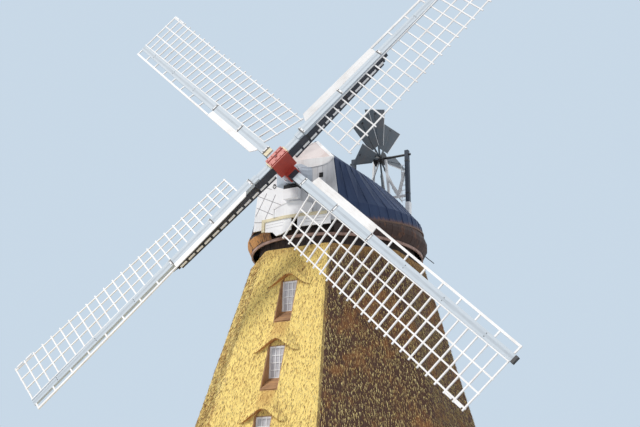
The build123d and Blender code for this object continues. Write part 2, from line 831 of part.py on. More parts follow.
def skirt():
    """Bulging boards under the eave, open in front behind the boards."""
    whole = skirt_form(0, 0) - skirt_form(SKIRT_T, 1) - eave_line(1)
    whole = whole - box(-SKIRT_GAP_X, SKIRT_GAP_X, -FAR, -SHEER_X, SKIRT_FOOT_Z - 1, DECK_Z + 1)
    half = SHEER_W / 2 + RUN_GAP
    for side in (-1, 1):
        x = side * SHEER_X
        whole = whole - box(x - half, x + half, SHEER_X, FAR, SHEER_Z - RUN_GAP, DECK_Z + 1)
    return whole


def skirt_hem():
    """Rim that closes the foot of the skirt all round."""
    return ring(SKIRT_FOOT_RADIUS, SKIRT_FOOT_RADIUS - HEM_T, SKIRT_FOOT_Z - HEM_H, SKIRT_FOOT_Z, SKIRT_BOARDS)


def moulding():
    """Square moulding across the foot of the breast, with an upright at its left end."""
    half = MOULDING_HALF_W
    bar = front_band(-half, half, MOULDING_Z, MOULDING_Z + MOULDING_H, MOULDING_T)
    low = MOULDING_Z - MOULDING_POST_DROP
    return bar + front_band(-half, -half + MOULDING_POST_W, low, MOULDING_Z + MOULDING_H, MOULDING_T)


def left_board():
    """Bare board under the moulding on the left, its foot broken off in a sag."""
    x0, x1 = LEFT_BOARD_X
    low = MOULDING_Z - BOARD_DROP
    board = front_band(x0, x1, low - BOARD_SAG, MOULDING_Z, BOARD_T)
    broken = [(x0 - 1, low)]
    for along, sag in BOARD_BREAKS:
        broken.append((x0 + (x1 - x0) * along, low - BOARD_SAG * sag))
    broken.extend([(x1 + 1, low - BOARD_SAG * BOARD_BREAKS[-1][1]), (x1 + 1, 0), (x0 - 1, 0)])
    return board - slab_through(broken)


def name_board():
    """Bare arched board that stands on the moulding."""
    low = MOULDING_Z + MOULDING_H
    spring = low + NAME_SIDE_H
    arch = arch_points(NAME_HALF_W, spring, NAME_H - NAME_SIDE_H)
    outline = [(-NAME_HALF_W, low), (NAME_HALF_W, low)] + arch
    return slab_through(outline) & box(-FAR, FAR, flat_face_y() - BOARD_T, flat_face_y(), 0, FAR)


def plain_boards():
    """Two bare boards under the moulding and one arched bare board above it."""
    x0, x1 = RIGHT_BOARD_X
    right = front_band(x0, x1, MOULDING_Z - BOARD_DROP, MOULDING_Z, BOARD_T)
    return group([left_board(), right, name_board()])


def hatch_box():
    """Open-topped box on the breast that guides the brake rods."""
    low = CURB_Z + HATCH_RISE
    y1 = flat_face_y()
    y0 = y1 - HATCH_D
    half = HATCH_HALF_W
    shell = box(-half, half, y0, y1, low, low + HATCH_H)
    inner = half - HATCH_T
    return shell - box(-inner, inner, y0 + HATCH_T, y1 - HATCH_T, low + HATCH_T, low + HATCH_H + 1)


def collar_form(inset, nose):
    """Loft from a squarish ring on the breast to a round ring on the windshaft."""
    low = CURB_Z + COLLAR_FOOT_RISE + inset
    high = CURB_Z + COLLAR_TOP_RISE - inset
    base_y = flat_face_y() + COLLAR_SEAT
    nose_y = HUB_Y + COLLAR_NOSE_W * cos(TILT)
    base = []
    tip = []
    for k in range(SHAFT_SIDES):
        turn = radians((k + 0.5) * 360 / SHAFT_SIDES)
        across = max(-1, min(1, COLLAR_SQUARENESS * cos(turn)))
        up = max(-1, min(1, COLLAR_SQUARENESS * sin(turn)))
        base.append(((COLLAR_HALF_W - inset) * across, base_y, (low + high) / 2 + (high - low) / 2 * up))
        rise = nose * sin(turn)
        tip.append((nose * cos(turn), nose_y + rise * sin(TILT), shaft_axis_z(nose_y) + rise * cos(TILT)))
    return facets([base, tip])


def neck_collar():
    """Collar round the shaft over its hole, its back cut to the canted breast and the valance."""
    shell = collar_form(0, COLLAR_NOSE_RADIUS) - collar_form(COLLAR_T, SHAFT_RADIUS + COLLAR_GAP)
    behind = polygon(front_face(RUN_GAP) + [(EAVE_FRONT_X, 0), (-EAVE_FRONT_X, 0)])
    shell = shell - extrude(behind, FAR)
    front_y = flat_face_y() - VALANCE_T - RUN_GAP
    return shell - (slab_through(valance_outline()) & box(-FAR, FAR, front_y, 0, 0, FAR))


def valance_outline():
    """Outline of the valance with its two scallops."""
    x = BREAK_FRONT_X
    edge = BREAK_Z - VALANCE_EDGE
    depth = VALANCE_DROP - VALANCE_EDGE
    outline = [(-x, BREAK_Z + 1), (-x, edge)]
    for centre in (-x / 2, x / 2):
        for k in range(1, ARCH_FACETS + 1):
            turn = radians(180 * k / ARCH_FACETS)
            outline.append((centre - x / 2 * cos(turn), edge - depth * sin(turn)))
    outline.append((x, BREAK_Z + 1))
    return outline


def valance():
    """Scalloped board under the front half hip, with the soffit that joins them."""
    x = BREAK_FRONT_X
    band = front_band(-x, x, BREAK_Z - VALANCE_DROP, BREAK_Z, VALANCE_T) & slab_through(valance_outline())
    soffit = polygon(front_face(0) + [(EAVE_FRONT_X, FRONT_Y), (-EAVE_FRONT_X, FRONT_Y)])
    soffit = extrude(Plane.XY.offset(BREAK_Z - VALANCE_T) * soffit, VALANCE_T)
    return band + (soffit & box(-x, x, -FAR, FAR, 0, FAR))


def post_y(z):
    """Middle of the fan posts at a height: they lean towards the fan's axis."""
    lean = (FAN_POST_FOOT_Y - FAN_Y) / (FAN_Z - DECK_Z)
    return FAN_POST_FOOT_Y - lean * (z - DECK_Z)


def fan_post(side):
    """Leaning post that carries one end of the fan shaft."""
    top = FAN_Z + FAN_POST_OVER
    half = FAN_POST_W / 2
    profile = [
        (post_y(DECK_Z) - half, DECK_Z),
        (post_y(DECK_Z) + half, DECK_Z),
        (post_y(top) + half, top),
        (post_y(top) - half, top),
    ]
    post = extrude(Plane.YZ.offset(side * FAN_POST_X - half) * polygon(profile), FAN_POST_W)
    return post - fan_rod(FAN_SHAFT_RADIUS + JOURNAL_GAP, FAN_POST_X + FAN_POST_W)


def fan_rod(radius, half_len):
    """Cylinder along the fan's axis."""
    return Pos(0, FAN_Y, FAN_Z) * Rot(0, 90, 0) * Cylinder(radius, 2 * half_len)


def strut(x0, z0, x1, z1):
    """Strut of the trestle between two points, its ends cut level."""
    half = STRUT_W / 2 * sqrt(1 + ((x1 - x0) / (z1 - z0)) ** 2)
    return slab_through([(x0 - half, z0), (x0 + half, z0), (x1 + half, z1), (x1 - half, z1)])


def fan_struts():
    """White trestle between the fan posts: legs, braces, tie and crossbeam."""
    beam_z = FAN_Z - CROSSBEAM_DROP
    tie_z = FAN_Z - TIE_DROP
    brace_z = FAN_Z - BRACE_DROP
    leg_top = FAN_Z - FAN_SHAFT_RADIUS - LEG_GAP
    inner_x = FAN_POST_X - FAN_POST_W / 2 - RUN_GAP
    frame = slab_through([(-inner_x, beam_z), (inner_x, beam_z), (inner_x, beam_z + CROSSBEAM_H),
                          (-inner_x, beam_z + CROSSBEAM_H)])
    for side in (-1, 1):
        lean = (LEG_FOOT_X - LEG_TOP_X) / (leg_top - beam_z)
        tie_x = LEG_FOOT_X - lean * (tie_z - beam_z)
        brace_x = LEG_FOOT_X - lean * (brace_z - beam_z)
        frame = frame + strut(side * LEG_FOOT_X, beam_z, side * LEG_TOP_X, leg_top)
        frame = frame + strut(side * BRACE_FOOT_X, tie_z, side * brace_x, brace_z)
        frame = frame + strut(side * BRACE_FOOT_X, tie_z, side * (inner_x - STRUT_W), brace_z)
        x0, x1 = sorted((side * tie_x, side * inner_x))
        frame = frame + slab_through([(x0, tie_z - STRUT_W), (x1, tie_z - STRUT_W), (x1, tie_z), (x0, tie_z)])
        x0, x1 = sorted((side * (inner_x - 2 * STRUT_W), side * inner_x))
        top = brace_z + STRUT_W
        frame = frame + slab_through([(x0, brace_z), (x1, brace_z), (x1, top), (x0, top)])
    half = STRUT_T / 2
    low = beam_z - 1
    high = leg_top + 1
    lean_slab = slab_across([
        (post_y(low) - half, low),
        (post_y(low) + half, low),
        (post_y(high) + half, high),
        (post_y(high) - half, high),
    ])
    return frame & lean_slab


def sail_plane(angle):
    """Frame of one arm: x out along the arm, y the way it turns, z to the front."""
    turn = radians(angle)
    arm = (cos(turn), sin(turn) * sin(TILT), sin(turn) * cos(TILT))
    return Plane(origin=(0, HUB_Y, HUB_Z), x_dir=arm, z_dir=(0, -cos(TILT), sin(TILT)))


def arm_plane(number):
    """Frame of the arm with the given number, on the front or the rear stock."""
    plane = sail_plane(SAIL_PHASE + 90 * number)
    if number % 2:
        return plane.offset(-STOCK_OFFSET)
    return plane


def twist(r):
    """Angle by which the lattice leans back at a distance from the hub."""
    share = (r - LATTICE_ROOT_R) / (SAIL_RADIUS - LATTICE_ROOT_R)
    return ROOT_TWIST + (TIP_TWIST - ROOT_TWIST) * share


def tapered(face_points, side_points):
    """Bar cut from its outline (x, y) and its edge view (x, z), both along an arm."""
    front = extrude(polygon(face_points), FAR, both=True)
    edge = extrude(Plane.XZ * polygon(side_points), FAR, both=True)
    return front & edge


def stock(number):
    """Tapered beam through the poll end."""
    end = STOCK_HALF_LEN
    half = STOCK_W / 2
    tip = STOCK_END_W / 2
    face = [(-end, -tip), (0, -half), (end, -tip), (end, tip), (0, half), (-end, tip)]
    edge = [
        (-end, STOCK_FRONT),
        (end, STOCK_FRONT),
        (end, STOCK_FRONT - STOCK_END_T),
        (0, STOCK_FRONT - STOCK_T),
        (-end, STOCK_FRONT - STOCK_END_T),
    ]
    return arm_plane(number).location * tapered(face, edge)


def whip_half(r):
    """Half the whip's width at a distance from the hub."""
    share = (r - WHIP_ROOT_R) / (SAIL_RADIUS + RUNG_T - WHIP_ROOT_R)
    return (WHIP_W + (WHIP_END_W - WHIP_W) * share) / 2


def whip():
    """Tapered sail bar on the front of the stock."""
    r0 = WHIP_ROOT_R
    r1 = SAIL_RADIUS + RUNG_T
    face = [(r0, -whip_half(r0)), (r1, -whip_half(r1)), (r1, whip_half(r1)), (r0, whip_half(r0))]
    edge = [(r0, WHIP_BACK), (r1, WHIP_BACK), (r1, WHIP_BACK + WHIP_END_T), (r0, WHIP_BACK + WHIP_T)]
    return tapered(face, edge)


def neck_piece(number):
    """Block on the stock between the poll end and the root of one whip."""
    half = NECK_PIECE_WS[number % 2] / 2
    r0 = NECK_PIECE_ROOT_RS[number % 2]
    return box(r0, WHIP_ROOT_R - RUN_GAP, -half, half, WHIP_BACK, WHIP_BACK + NECK_PIECE_T)


def rung(r):
    """Square rung from the whip's edge to just past the hem."""
    lean = radians(twist(r))
    half = RUNG_T / 2
    start = (whip_half(r - half) + RUN_GAP + half * sin(lean)) / cos(lean)
    end = LATTICE_OFFSET + LATTICE_W + LATTICE_NUB
    return Rot(twist(r), 0, 0) * box(r - half, r + half, -end, -start, -half, half)


def lattice_point(r, chord):
    """Place on the lattice's twisted face."""
    lean = radians(twist(r))
    return Vector(r, -chord * cos(lean), -chord * sin(lean))


def long_bar(chord, r0, r1):
    """Straight bar along the lattice at a given distance from the whip's middle."""
    start = lattice_point(r0, chord)
    way = lattice_point(r1, chord) - start
    middle = radians((twist(r0) + twist(r1)) / 2)
    across = Vector(0, -cos(middle), -sin(middle))
    spot = Plane(origin=start, x_dir=across, z_dir=way)
    return extrude(spot * Rectangle(UPLONG_W, UPLONG_T), way.length)


def lattice():
    """Rungs, uplongs and hem on the trailing side of one arm."""
    pitch = (SAIL_RADIUS - LATTICE_ROOT_R) / LATTICE_BAYS
    bars = [rung(LATTICE_ROOT_R + i * pitch) for i in range(LATTICE_BAYS + 1)]
    r0 = LATTICE_ROOT_R - RUNG_T
    r1 = SAIL_RADIUS + RUNG_T
    for share in UPLONG_SHARES:
        bars.append(long_bar(LATTICE_OFFSET + UPLONG_W / 2 + share * (LATTICE_W - UPLONG_W), r0, r1))
    return bars[0].fuse(*bars[1:])


def lead_edge():
    """Distance from the whip's middle to the outer edge on the leading side."""
    return WHIP_W / 2 + WINDBOARD_W


def windboard():
    """Solid board on the leading side of the inner part of one arm, slanted at its root."""
    r0 = BOARD_ROOT_R
    r1 = BOARD_END_R
    plan_points = [
        (r0, whip_half(r0) + RUN_GAP),
        (r1, whip_half(r1) + RUN_GAP),
        (r1, lead_edge()),
        (r0 + BOARD_SLANT, lead_edge()),
    ]
    return extrude(polygon(plan_points), WINDBOARD_T)


def leading_rail():
    """Rail with short posts on the leading side of the outer part of one arm."""
    y_out = lead_edge()
    rail = box(BOARD_END_R + RUN_GAP, SAIL_RADIUS, y_out - RAIL_T, y_out, 0, RAIL_T)
    step = (SAIL_RADIUS - BOARD_END_R - RAIL_T) / RAIL_POSTS
    for i in range(RAIL_POSTS):
        r = BOARD_END_R + (i + 1) * step
        low = whip_half(r - RAIL_T / 2) + RUN_GAP
        rail = rail + box(r - RAIL_T / 2, r + RAIL_T / 2, low, y_out, 0, POST_T)
    return rail


def poll_mortise(number):
    """Passage of one stock through the poll end, in the poll end's own frame."""
    half = STOCK_W / 2 + RUN_GAP
    back = STOCK_FRONT - number * STOCK_OFFSET
    z0 = back - STOCK_T - RUN_GAP
    z1 = back + RUN_GAP
    if number:
        return box(-half, half, -FAR, FAR, z0, z1)
    return box(-FAR, FAR, -half, half, z0, z1)


def poll_end():
    """Cast end of the shaft: a cell for each stock, with two flanges in front."""
    long, wide = CELL_HALF_L, CELL_HALF_W
    block = box(-long, long, -wide, wide, -POLL_SPLIT, POLL_FRONT)
    block = block + box(-wide, wide, -long, long, -POLL_REAR, -POLL_SPLIT)
    for y1 in FLANGE_EDGES:
        block = block + box(-long, long, y1 - FLANGE_W, y1, POLL_FRONT, POLL_FRONT + FLANGE_T)
    block = block - poll_mortise(0) - poll_mortise(1)
    return sail_plane(SAIL_PHASE).location * block


def journal_span(y, radius):
    """Ends of a journal that clears both faces of its beam."""
    half = BEAM_W / 2 + radius * tan(TILT) + JOURNAL_END_GAP
    return y - half, y + half


def windshaft():
    """Shaft with its neck and tail journals."""
    front = HUB_Y + POLL_REAR * cos(TILT)
    neck0, neck1 = journal_span(NECK_Y, NECK_RADIUS)
    tail0, tail1 = journal_span(TAIL_Y, TAIL_RADIUS)
    shaft = shaft_bar(SHAFT_RADIUS, front, neck0)
    shaft = shaft + shaft_rod(NECK_RADIUS, neck0, neck1)
    shaft = shaft + shaft_bar(SHAFT_RADIUS, neck1, tail0)
    return shaft + shaft_rod(TAIL_RADIUS, tail0, tail1)


def wheel_plane():
    """Plane of the fan wheel, with its normal along the fan's axis."""
    return Plane(origin=(0, FAN_Y, FAN_Z), x_dir=(0, 1, 0), z_dir=(1, 0, 0))


def fan_hub():
    """Hub of the fan, with a flat for each arm, bored for its shaft."""
    turn = FAN_PHASE - 180 / FAN_HUB_SIDES
    outline = wheel_plane() * RegularPolygon(FAN_HUB_RADIUS, FAN_HUB_SIDES, rotation=turn)
    return extrude(outline, FAN_HUB_W / 2, both=True) - fan_rod(FAN_SHAFT_RADIUS, FAN_HUB_W)


def fan_blade(angle):
    """One arm of the fan with its pitched board."""
    hub_flat = FAN_HUB_RADIUS * cos(radians(180 / FAN_HUB_SIDES)) + RUN_GAP
    blade = box(hub_flat, FAN_RADIUS - ARM_SHORT, -ARM_W / 2, ARM_W / 2, -ARM_W / 2, ARM_W / 2)
    outline = [
        (BLADE_ROOT_R, -BLADE_ROOT_W / 2),
        (FAN_RADIUS, -BLADE_TIP_W / 2),
        (FAN_RADIUS, BLADE_TIP_W / 2),
        (BLADE_ROOT_R, BLADE_ROOT_W / 2),
    ]
    blade = blade + Pos(0, 0, -BLADE_T / 2) * extrude(polygon(outline), BLADE_T)
    return wheel_plane().location * Rot(0, 0, angle) * Rot(BLADE_PITCH, 0, 0) * blade


def build_tower():
    """Pieces that stand still."""
    parts = {"base_wall": base_wall(), "ground_floor": ground_floor()}
    for name, z in zip(("lower_floor", "middle_floor", "top_floor"), FLOOR_ZS):
        parts[name] = upper_floor(z)
    plain = thatch_panel(False)
    opened = thatch_panel(True)
    for i, name in enumerate(SIDE_NAMES):
        panel = opened if i in (0, SIDES // 2) else plain
        parts["thatch_" + name] = Rot(0, 0, i * 360 / SIDES) * panel
    parts["curb_band"] = curb_band()
    parts["curb_ring"] = curb_ring()
    makers = {"window_linings": window_lining, "window_sashes": window_sash, "window_glass": window_glass}
    for name, maker in makers.items():
        front = [maker(z) for z in WINDOW_HEAD_ZS]
        parts[name] = group(front + [half_turned(shape) for shape in front])
    frame = door_frame()
    parts["door_frames"] = group([frame, half_turned(frame)])
    leaves = door_leaves()
    parts["door_leaves"] = group(leaves + [half_turned(leaf) for leaf in leaves])
    step = door_step()
    parts["door_steps"] = group([step, half_turned(step)])
    return parts


def build_cap():
    """Pieces that turn with the cap."""
    parts = {"cap_ring": cap_ring(), "sheers": sheers(), "cap_deck": cap_deck()}
    parts["shaft_beams"] = shaft_beams()
    parts["skirt_left"], parts["skirt_right"] = halves(skirt())
    parts["skirt_hem"] = skirt_hem()
    parts["breast_left"], parts["breast_right"] = halves(breast())
    parts["neck_collar"] = neck_collar()
    parts["hatch_box"] = hatch_box()
    parts["roof_lower_left"], parts["roof_lower_right"] = halves(roof_lower())
    parts["rear_wall"] = rear_wall()
    upper = roof_upper()
    prism = hip_prism()
    parts["front_hip"] = upper & prism
    parts["roof_upper"] = upper - prism
    parts["ridge_roll"] = ridge_roll()
    parts["valance"] = valance()
    parts["moulding"] = moulding()
    parts["plain_boards"] = plain_boards()
    parts["fan_posts"] = group([fan_post(-1), fan_post(1)])
    parts["fan_struts"] = fan_struts()
    return parts


def build_sails():
    """Pieces that turn with the windshaft."""
    parts = {"windshaft": windshaft(), "poll_end": poll_end()}
    parts["stock_front"] = stock(0)
    parts["stock_rear"] = stock(1)
    planes = [arm_plane(i).location for i in range(4)]
    bar = whip()
    grid = lattice()
    board = windboard()
    rail = leading_rail()
    whips = [place * bar for place in planes]
    necks = [place * neck_piece(i) for i, place in enumerate(planes)]
    parts["whips"] = group(whips + necks)
    parts["windboards"] = group([place * board for place in planes])
    parts["leading_rails"] = group([place * rail for place in planes])
    for i, place in enumerate(planes):
        parts["lattice_" + str(i + 1)] = place * grid
    return parts


def build_fan():
    """Pieces that turn with the fan shaft."""
    blades = [fan_blade(FAN_PHASE + i * 360 / FAN_BLADES) for i in range(FAN_BLADES)]
    shaft = fan_rod(FAN_SHAFT_RADIUS, FAN_POST_X + FAN_POST_W)
    return {"fan_shaft": shaft, "fan_hub": fan_hub(), "fan_blades": group(blades)}


def main():
    """Build every piece and write it under its name."""
    os.makedirs("parts", exist_ok=True)
    pieces = {}
    for build in (build_tower, build_cap, build_sails, build_fan):
        pieces.update(build())
    for name, shape in pieces.items():
        export_step(shape, os.path.join("parts", name + ".step"))
        print(name, len(shape.solids()), round(shape.volume / 1e9, 4))


main()
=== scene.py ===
"""Looks of the thatched windmill: finishes on its pieces, and the small parts round them.

Metres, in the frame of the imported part: +Z up, the origin on the ground at the tower's
axis, and the front of the tower facing -Y.
"""

from __future__ import annotations

import json
import logging
import math
from dataclasses import dataclass
from enum import Enum
from typing import TypeAlias

import bpy
from bpy.types import Material, Mesh, Node, NodeSocket, NodeTree, Object
from mathutils import Matrix, Vector

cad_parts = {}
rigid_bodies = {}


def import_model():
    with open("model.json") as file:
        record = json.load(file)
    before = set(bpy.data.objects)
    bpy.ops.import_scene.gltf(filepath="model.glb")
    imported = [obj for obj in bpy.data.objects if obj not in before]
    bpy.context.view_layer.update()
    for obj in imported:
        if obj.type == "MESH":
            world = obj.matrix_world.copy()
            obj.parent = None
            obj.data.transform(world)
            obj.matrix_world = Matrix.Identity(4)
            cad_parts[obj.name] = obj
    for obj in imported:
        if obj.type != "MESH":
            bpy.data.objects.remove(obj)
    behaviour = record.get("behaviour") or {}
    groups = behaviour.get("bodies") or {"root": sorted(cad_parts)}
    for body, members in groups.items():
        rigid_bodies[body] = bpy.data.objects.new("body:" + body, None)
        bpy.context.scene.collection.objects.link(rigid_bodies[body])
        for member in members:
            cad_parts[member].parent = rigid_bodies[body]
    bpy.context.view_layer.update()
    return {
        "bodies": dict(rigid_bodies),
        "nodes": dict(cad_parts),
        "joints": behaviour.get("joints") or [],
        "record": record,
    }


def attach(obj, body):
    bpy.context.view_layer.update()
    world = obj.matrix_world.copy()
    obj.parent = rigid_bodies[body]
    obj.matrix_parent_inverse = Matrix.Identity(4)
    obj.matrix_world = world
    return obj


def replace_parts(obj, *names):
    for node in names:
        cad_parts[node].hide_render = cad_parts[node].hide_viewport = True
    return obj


log = logging.getLogger("windmill")

Colour: TypeAlias = tuple[float, float, float]
Place: TypeAlias = tuple[float, float, float]
Plan: TypeAlias = tuple[float, float, float, float]
Span: TypeAlias = tuple[float, float]
Number: TypeAlias = "float | Value"

ACROSS = Vector((1, 0, 0))
FRONT = Vector((0, -1, 0))
UP = Vector((0, 0, 1))
HALF_TURNS = (Matrix.Identity(3), Matrix.Rotation(math.pi, 3, "Z"))


def rectangle(low: Span, high: Span) -> list[Span]:
    """Corners of a rectangle between two opposite ones, in order."""
    return [(low[0], low[1]), (high[0], low[1]), (high[0], high[1]), (low[0], high[1])]


class Value:
    """A number that varies over a surface. Arithmetic on it adds Math nodes."""

    def __init__(self, graph: Tree, socket: NodeSocket) -> None:
        """Wrap one output socket of a node tree."""
        self.graph = graph
        self.socket = socket

    def __add__(self, other: Number) -> Value:
        """Sum."""
        return self.graph.math("ADD", self, other)

    __radd__ = __add__

    def __sub__(self, other: Number) -> Value:
        """Difference."""
        return self.graph.math("SUBTRACT", self, other)

    def __rsub__(self, other: Number) -> Value:
        """Difference from a plain number."""
        return self.graph.math("SUBTRACT", other, self)

    def __mul__(self, other: Number) -> Value:
        """Product."""
        return self.graph.math("MULTIPLY", self, other)

    __rmul__ = __mul__

    def __truediv__(self, other: Number) -> Value:
        """Quotient."""
        return self.graph.math("DIVIDE", self, other)

    def __abs__(self) -> Value:
        """Size without sign."""
        return self.graph.math("ABSOLUTE", self)

    def part(self) -> Value:
        """What is left past the whole part."""
        return self.graph.math("FRACT", self)

    def step(self, start: float, end: float) -> Value:
        """Change smoothly from 0 to 1.

        Args:
            start: value at which the result is 0; it may lie above the end.
            end: value at which the result is 1.

        Returns:
            The eased share between the two.
        """
        if start > end:
            return 1 - self.step(end, start)
        settings = {"interpolation_type": "SMOOTHSTEP", "clamp": True}
        node = self.graph.node("ShaderNodeMapRange", settings, {0: self, 1: start, 2: end})
        return Value(self.graph, node.outputs[0])


class Tree:
    """Node tree built in code: one way to add a node, and plain arithmetic on its values."""

    def __init__(self, tree: NodeTree) -> None:
        """Wrap a node tree and empty it."""
        self.tree = tree
        self.tree.nodes.clear()

    def node(self, kind: str, settings: dict | None = None, sockets: dict | None = None) -> Node:
        """Add one node.

        Args:
            kind: the node's type.
            settings: its own settings.
            sockets: values or links by socket name or number.

        Returns:
            The node.
        """
        node = self.tree.nodes.new(kind)
        for key, value in (settings or {}).items():
            setattr(node, key, value)
        for key, value in (sockets or {}).items():
            self.feed(node.inputs[key], value)
        return node

    def feed(self, socket: NodeSocket, value: Number | Colour | NodeSocket) -> None:
        """Link a value to a socket, or set it there.

        Args:
            socket: the input that takes the value.
            value: a number, a vector or colour, or an output to link.
        """
        source = value.socket if isinstance(value, Value) else value
        if isinstance(source, NodeSocket):
            self.tree.links.new(source, socket)
        elif socket.type == "RGBA" and len(source) == 3:
            socket.default_value = (*source, 1.0)
        else:
            socket.default_value = source

    def math(self, operation: str, *terms: Number | NodeSocket) -> Value:
        """Add a Math node on numbers."""
        node = self.node("ShaderNodeMath", {"operation": operation}, dict(enumerate(terms)))
        return Value(self, node.outputs[0])

    def vector(self, operation: str, *terms: Vector | NodeSocket) -> NodeSocket:
        """Add a Vector Math node that gives a vector."""
        return self.node("ShaderNodeVectorMath", {"operation": operation}, dict(enumerate(terms))).outputs[0]

    def dot(self, first: Vector | NodeSocket, second: Vector | NodeSocket) -> Value:
        """Dot product of two vectors."""
        node = self.node("ShaderNodeVectorMath", {"operation": "DOT_PRODUCT"}, {0: first, 1: second})
        return Value(self, node.outputs["Value"])

    def stretch(self, vector: NodeSocket, factor: Number | NodeSocket) -> NodeSocket:
        """A vector times a number."""
        sockets = {0: vector, "Scale": factor}
        return self.node("ShaderNodeVectorMath", {"operation": "SCALE"}, sockets).outputs[0]

    def point(self, *place: Number | NodeSocket) -> NodeSocket:
        """Vector made of three numbers."""
        return self.node("ShaderNodeCombineXYZ", {}, dict(enumerate(place))).outputs[0]


class Graph(Tree):
    """Node tree of one material, with the few kinds of node that the finishes use."""

    def __init__(self, name: str) -> None:
        """Start a material with one Principled shader, and read the place of each point."""
        self.material = bpy.data.materials.new(name)
        self.material.use_nodes = True
        super().__init__(self.material.node_tree)
        self.shader = self.node("ShaderNodeBsdfPrincipled")
        self.node("ShaderNodeOutputMaterial", {}, {0: self.shader.outputs[0]})
        coordinates = self.node("ShaderNodeTexCoord")
        self.place = coordinates.outputs["Object"]
        self.facing = coordinates.outputs["Normal"]
        parts = self.node("ShaderNodeSeparateXYZ", {}, {0: self.place})
        self.x, self.y, self.z = (Value(self, output) for output in parts.outputs)

    def mix(self, low: Colour | NodeSocket, high: Colour | NodeSocket, share: Number) -> NodeSocket:
        """Blend two colours, by the share of the second one."""
        return self.node("ShaderNodeMix", {"data_type": "RGBA"}, {0: share, 6: low, 7: high}).outputs[2]

    def noise(self, scale: float, detail: float = 3.0, place: NodeSocket | None = None) -> Value:
        """Cloudy pattern from 0 to 1.

        Args:
            scale: repeats a metre.
            detail: number of finer layers.
            place: position to read, the point's own by default.

        Returns:
            The pattern's value.
        """
        sockets = {"Vector": place or self.place, "Scale": scale, "Detail": detail, "Roughness": 0.6}
        return Value(self, self.node("ShaderNodeTexNoise", {"noise_dimensions": "3D"}, sockets).outputs[0])

    def streaks(self, *repeats: float, detail: float = 4.0) -> Value:
        """Noise drawn out into streaks, by its repeats a metre along each axis."""
        drawn = self.point(*(part * scale for part, scale in zip((self.x, self.y, self.z), repeats)))
        return self.noise(1.0, detail, drawn)

    def arm_place(self) -> tuple[Value, Value, Value]:
        """Distances out along the nearest sail arm, across it and over its plane."""
        frame = Sails().frame(0)
        from_hub = self.vector("SUBTRACT", self.place, tuple(frame.translation))
        first, second, over = (self.dot(from_hub, tuple(frame.col[i].to_3d())) for i in range(3))
        ends = (abs(first), abs(second))
        return self.math("MAXIMUM", *ends), self.math("MINIMUM", *ends), over

    def tint(self) -> Value:
        """Random number that each repeated part carries; it is 0 on other pieces."""
        return Value(self, self.node("ShaderNodeAttribute", {"attribute_name": "tint"}).outputs["Fac"])

    def finish(self, colour: NodeSocket, roughness: Number, height: Number | None = None,
               depth: float = 0.01, metallic: float = 0.0) -> Material:
        """Connect the shader.

        Args:
            colour: base colour's socket.
            roughness: roughness, a number or a pattern.
            height: relief from 0 to 1, or None for a smooth surface.
            depth: real depth of the relief, in metres.
            metallic: share of bare metal.

        Returns:
            The finished material.
        """
        values = {"Base Color": colour, "Roughness": roughness, "Metallic": metallic}
        if height is not None:
            bump = self.node("ShaderNodeBump", {}, {"Strength": 1.0, "Distance": depth, "Height": height})
            values["Normal"] = bump.outputs[0]
        for key, value in values.items():
            self.feed(self.shader.inputs[key], value)
        return self.material


@dataclass(frozen=True)
class Camera:
    """The photograph's point of view; its angles are in radians."""

    place: Vector = Vector((15.623, -28.9973, 1.92))
    yaw: float = -0.513584
    pitch: float = 0.336169
    roll: float = 0.027152
    focal_px: float = 989.011
    width_px: float = 640.0
    sensor: float = 36.0

    def build(self) -> None:
        """Make the camera and use it for the scene."""
        data = bpy.data.cameras.new("camera")
        data.sensor_width = self.sensor
        data.lens = self.focal_px / self.width_px * self.sensor
        camera = bpy.data.objects.new("camera", data)
        level = Vector((math.sin(self.yaw), math.cos(self.yaw), 0.0))
        ahead = level * math.cos(self.pitch) + UP * math.sin(self.pitch)
        right = ahead.cross(UP).normalized()
        up = right.cross(ahead)
        rolled_right = right * math.cos(self.roll) + up * math.sin(self.roll)
        rolled_up = up * math.cos(self.roll) - right * math.sin(self.roll)
        turn = Matrix((rolled_right, rolled_up, -ahead)).transposed().to_4x4()
        turn.translation = self.place
        camera.matrix_world = turn
        bpy.context.scene.collection.objects.link(camera)
        bpy.context.scene.camera = camera


@dataclass(frozen=True)
class Lamp:
    """One distant lamp: its disc, height over the horizon and turn from the front are in degrees."""

    name: str
    strength: float
    disc: float
    height: float
    turn: float
    colour: Colour

    def build(self) -> None:
        """Add the lamp to the scene."""
        data = bpy.data.lights.new(self.name, "SUN")
        data.energy = self.strength
        data.angle = math.radians(self.disc)
        data.color = self.colour
        lamp = bpy.data.objects.new(self.name, data)
        high, turn = math.radians(self.height), math.radians(self.turn)
        level = Vector((math.sin(turn), -math.cos(turn), 0.0))
        lamp.rotation_mode = "QUATERNION"
        lamp.rotation_quaternion = (level * math.cos(high) + UP * math.sin(high)).to_track_quat("Z", "Y")
        bpy.context.scene.collection.objects.link(lamp)


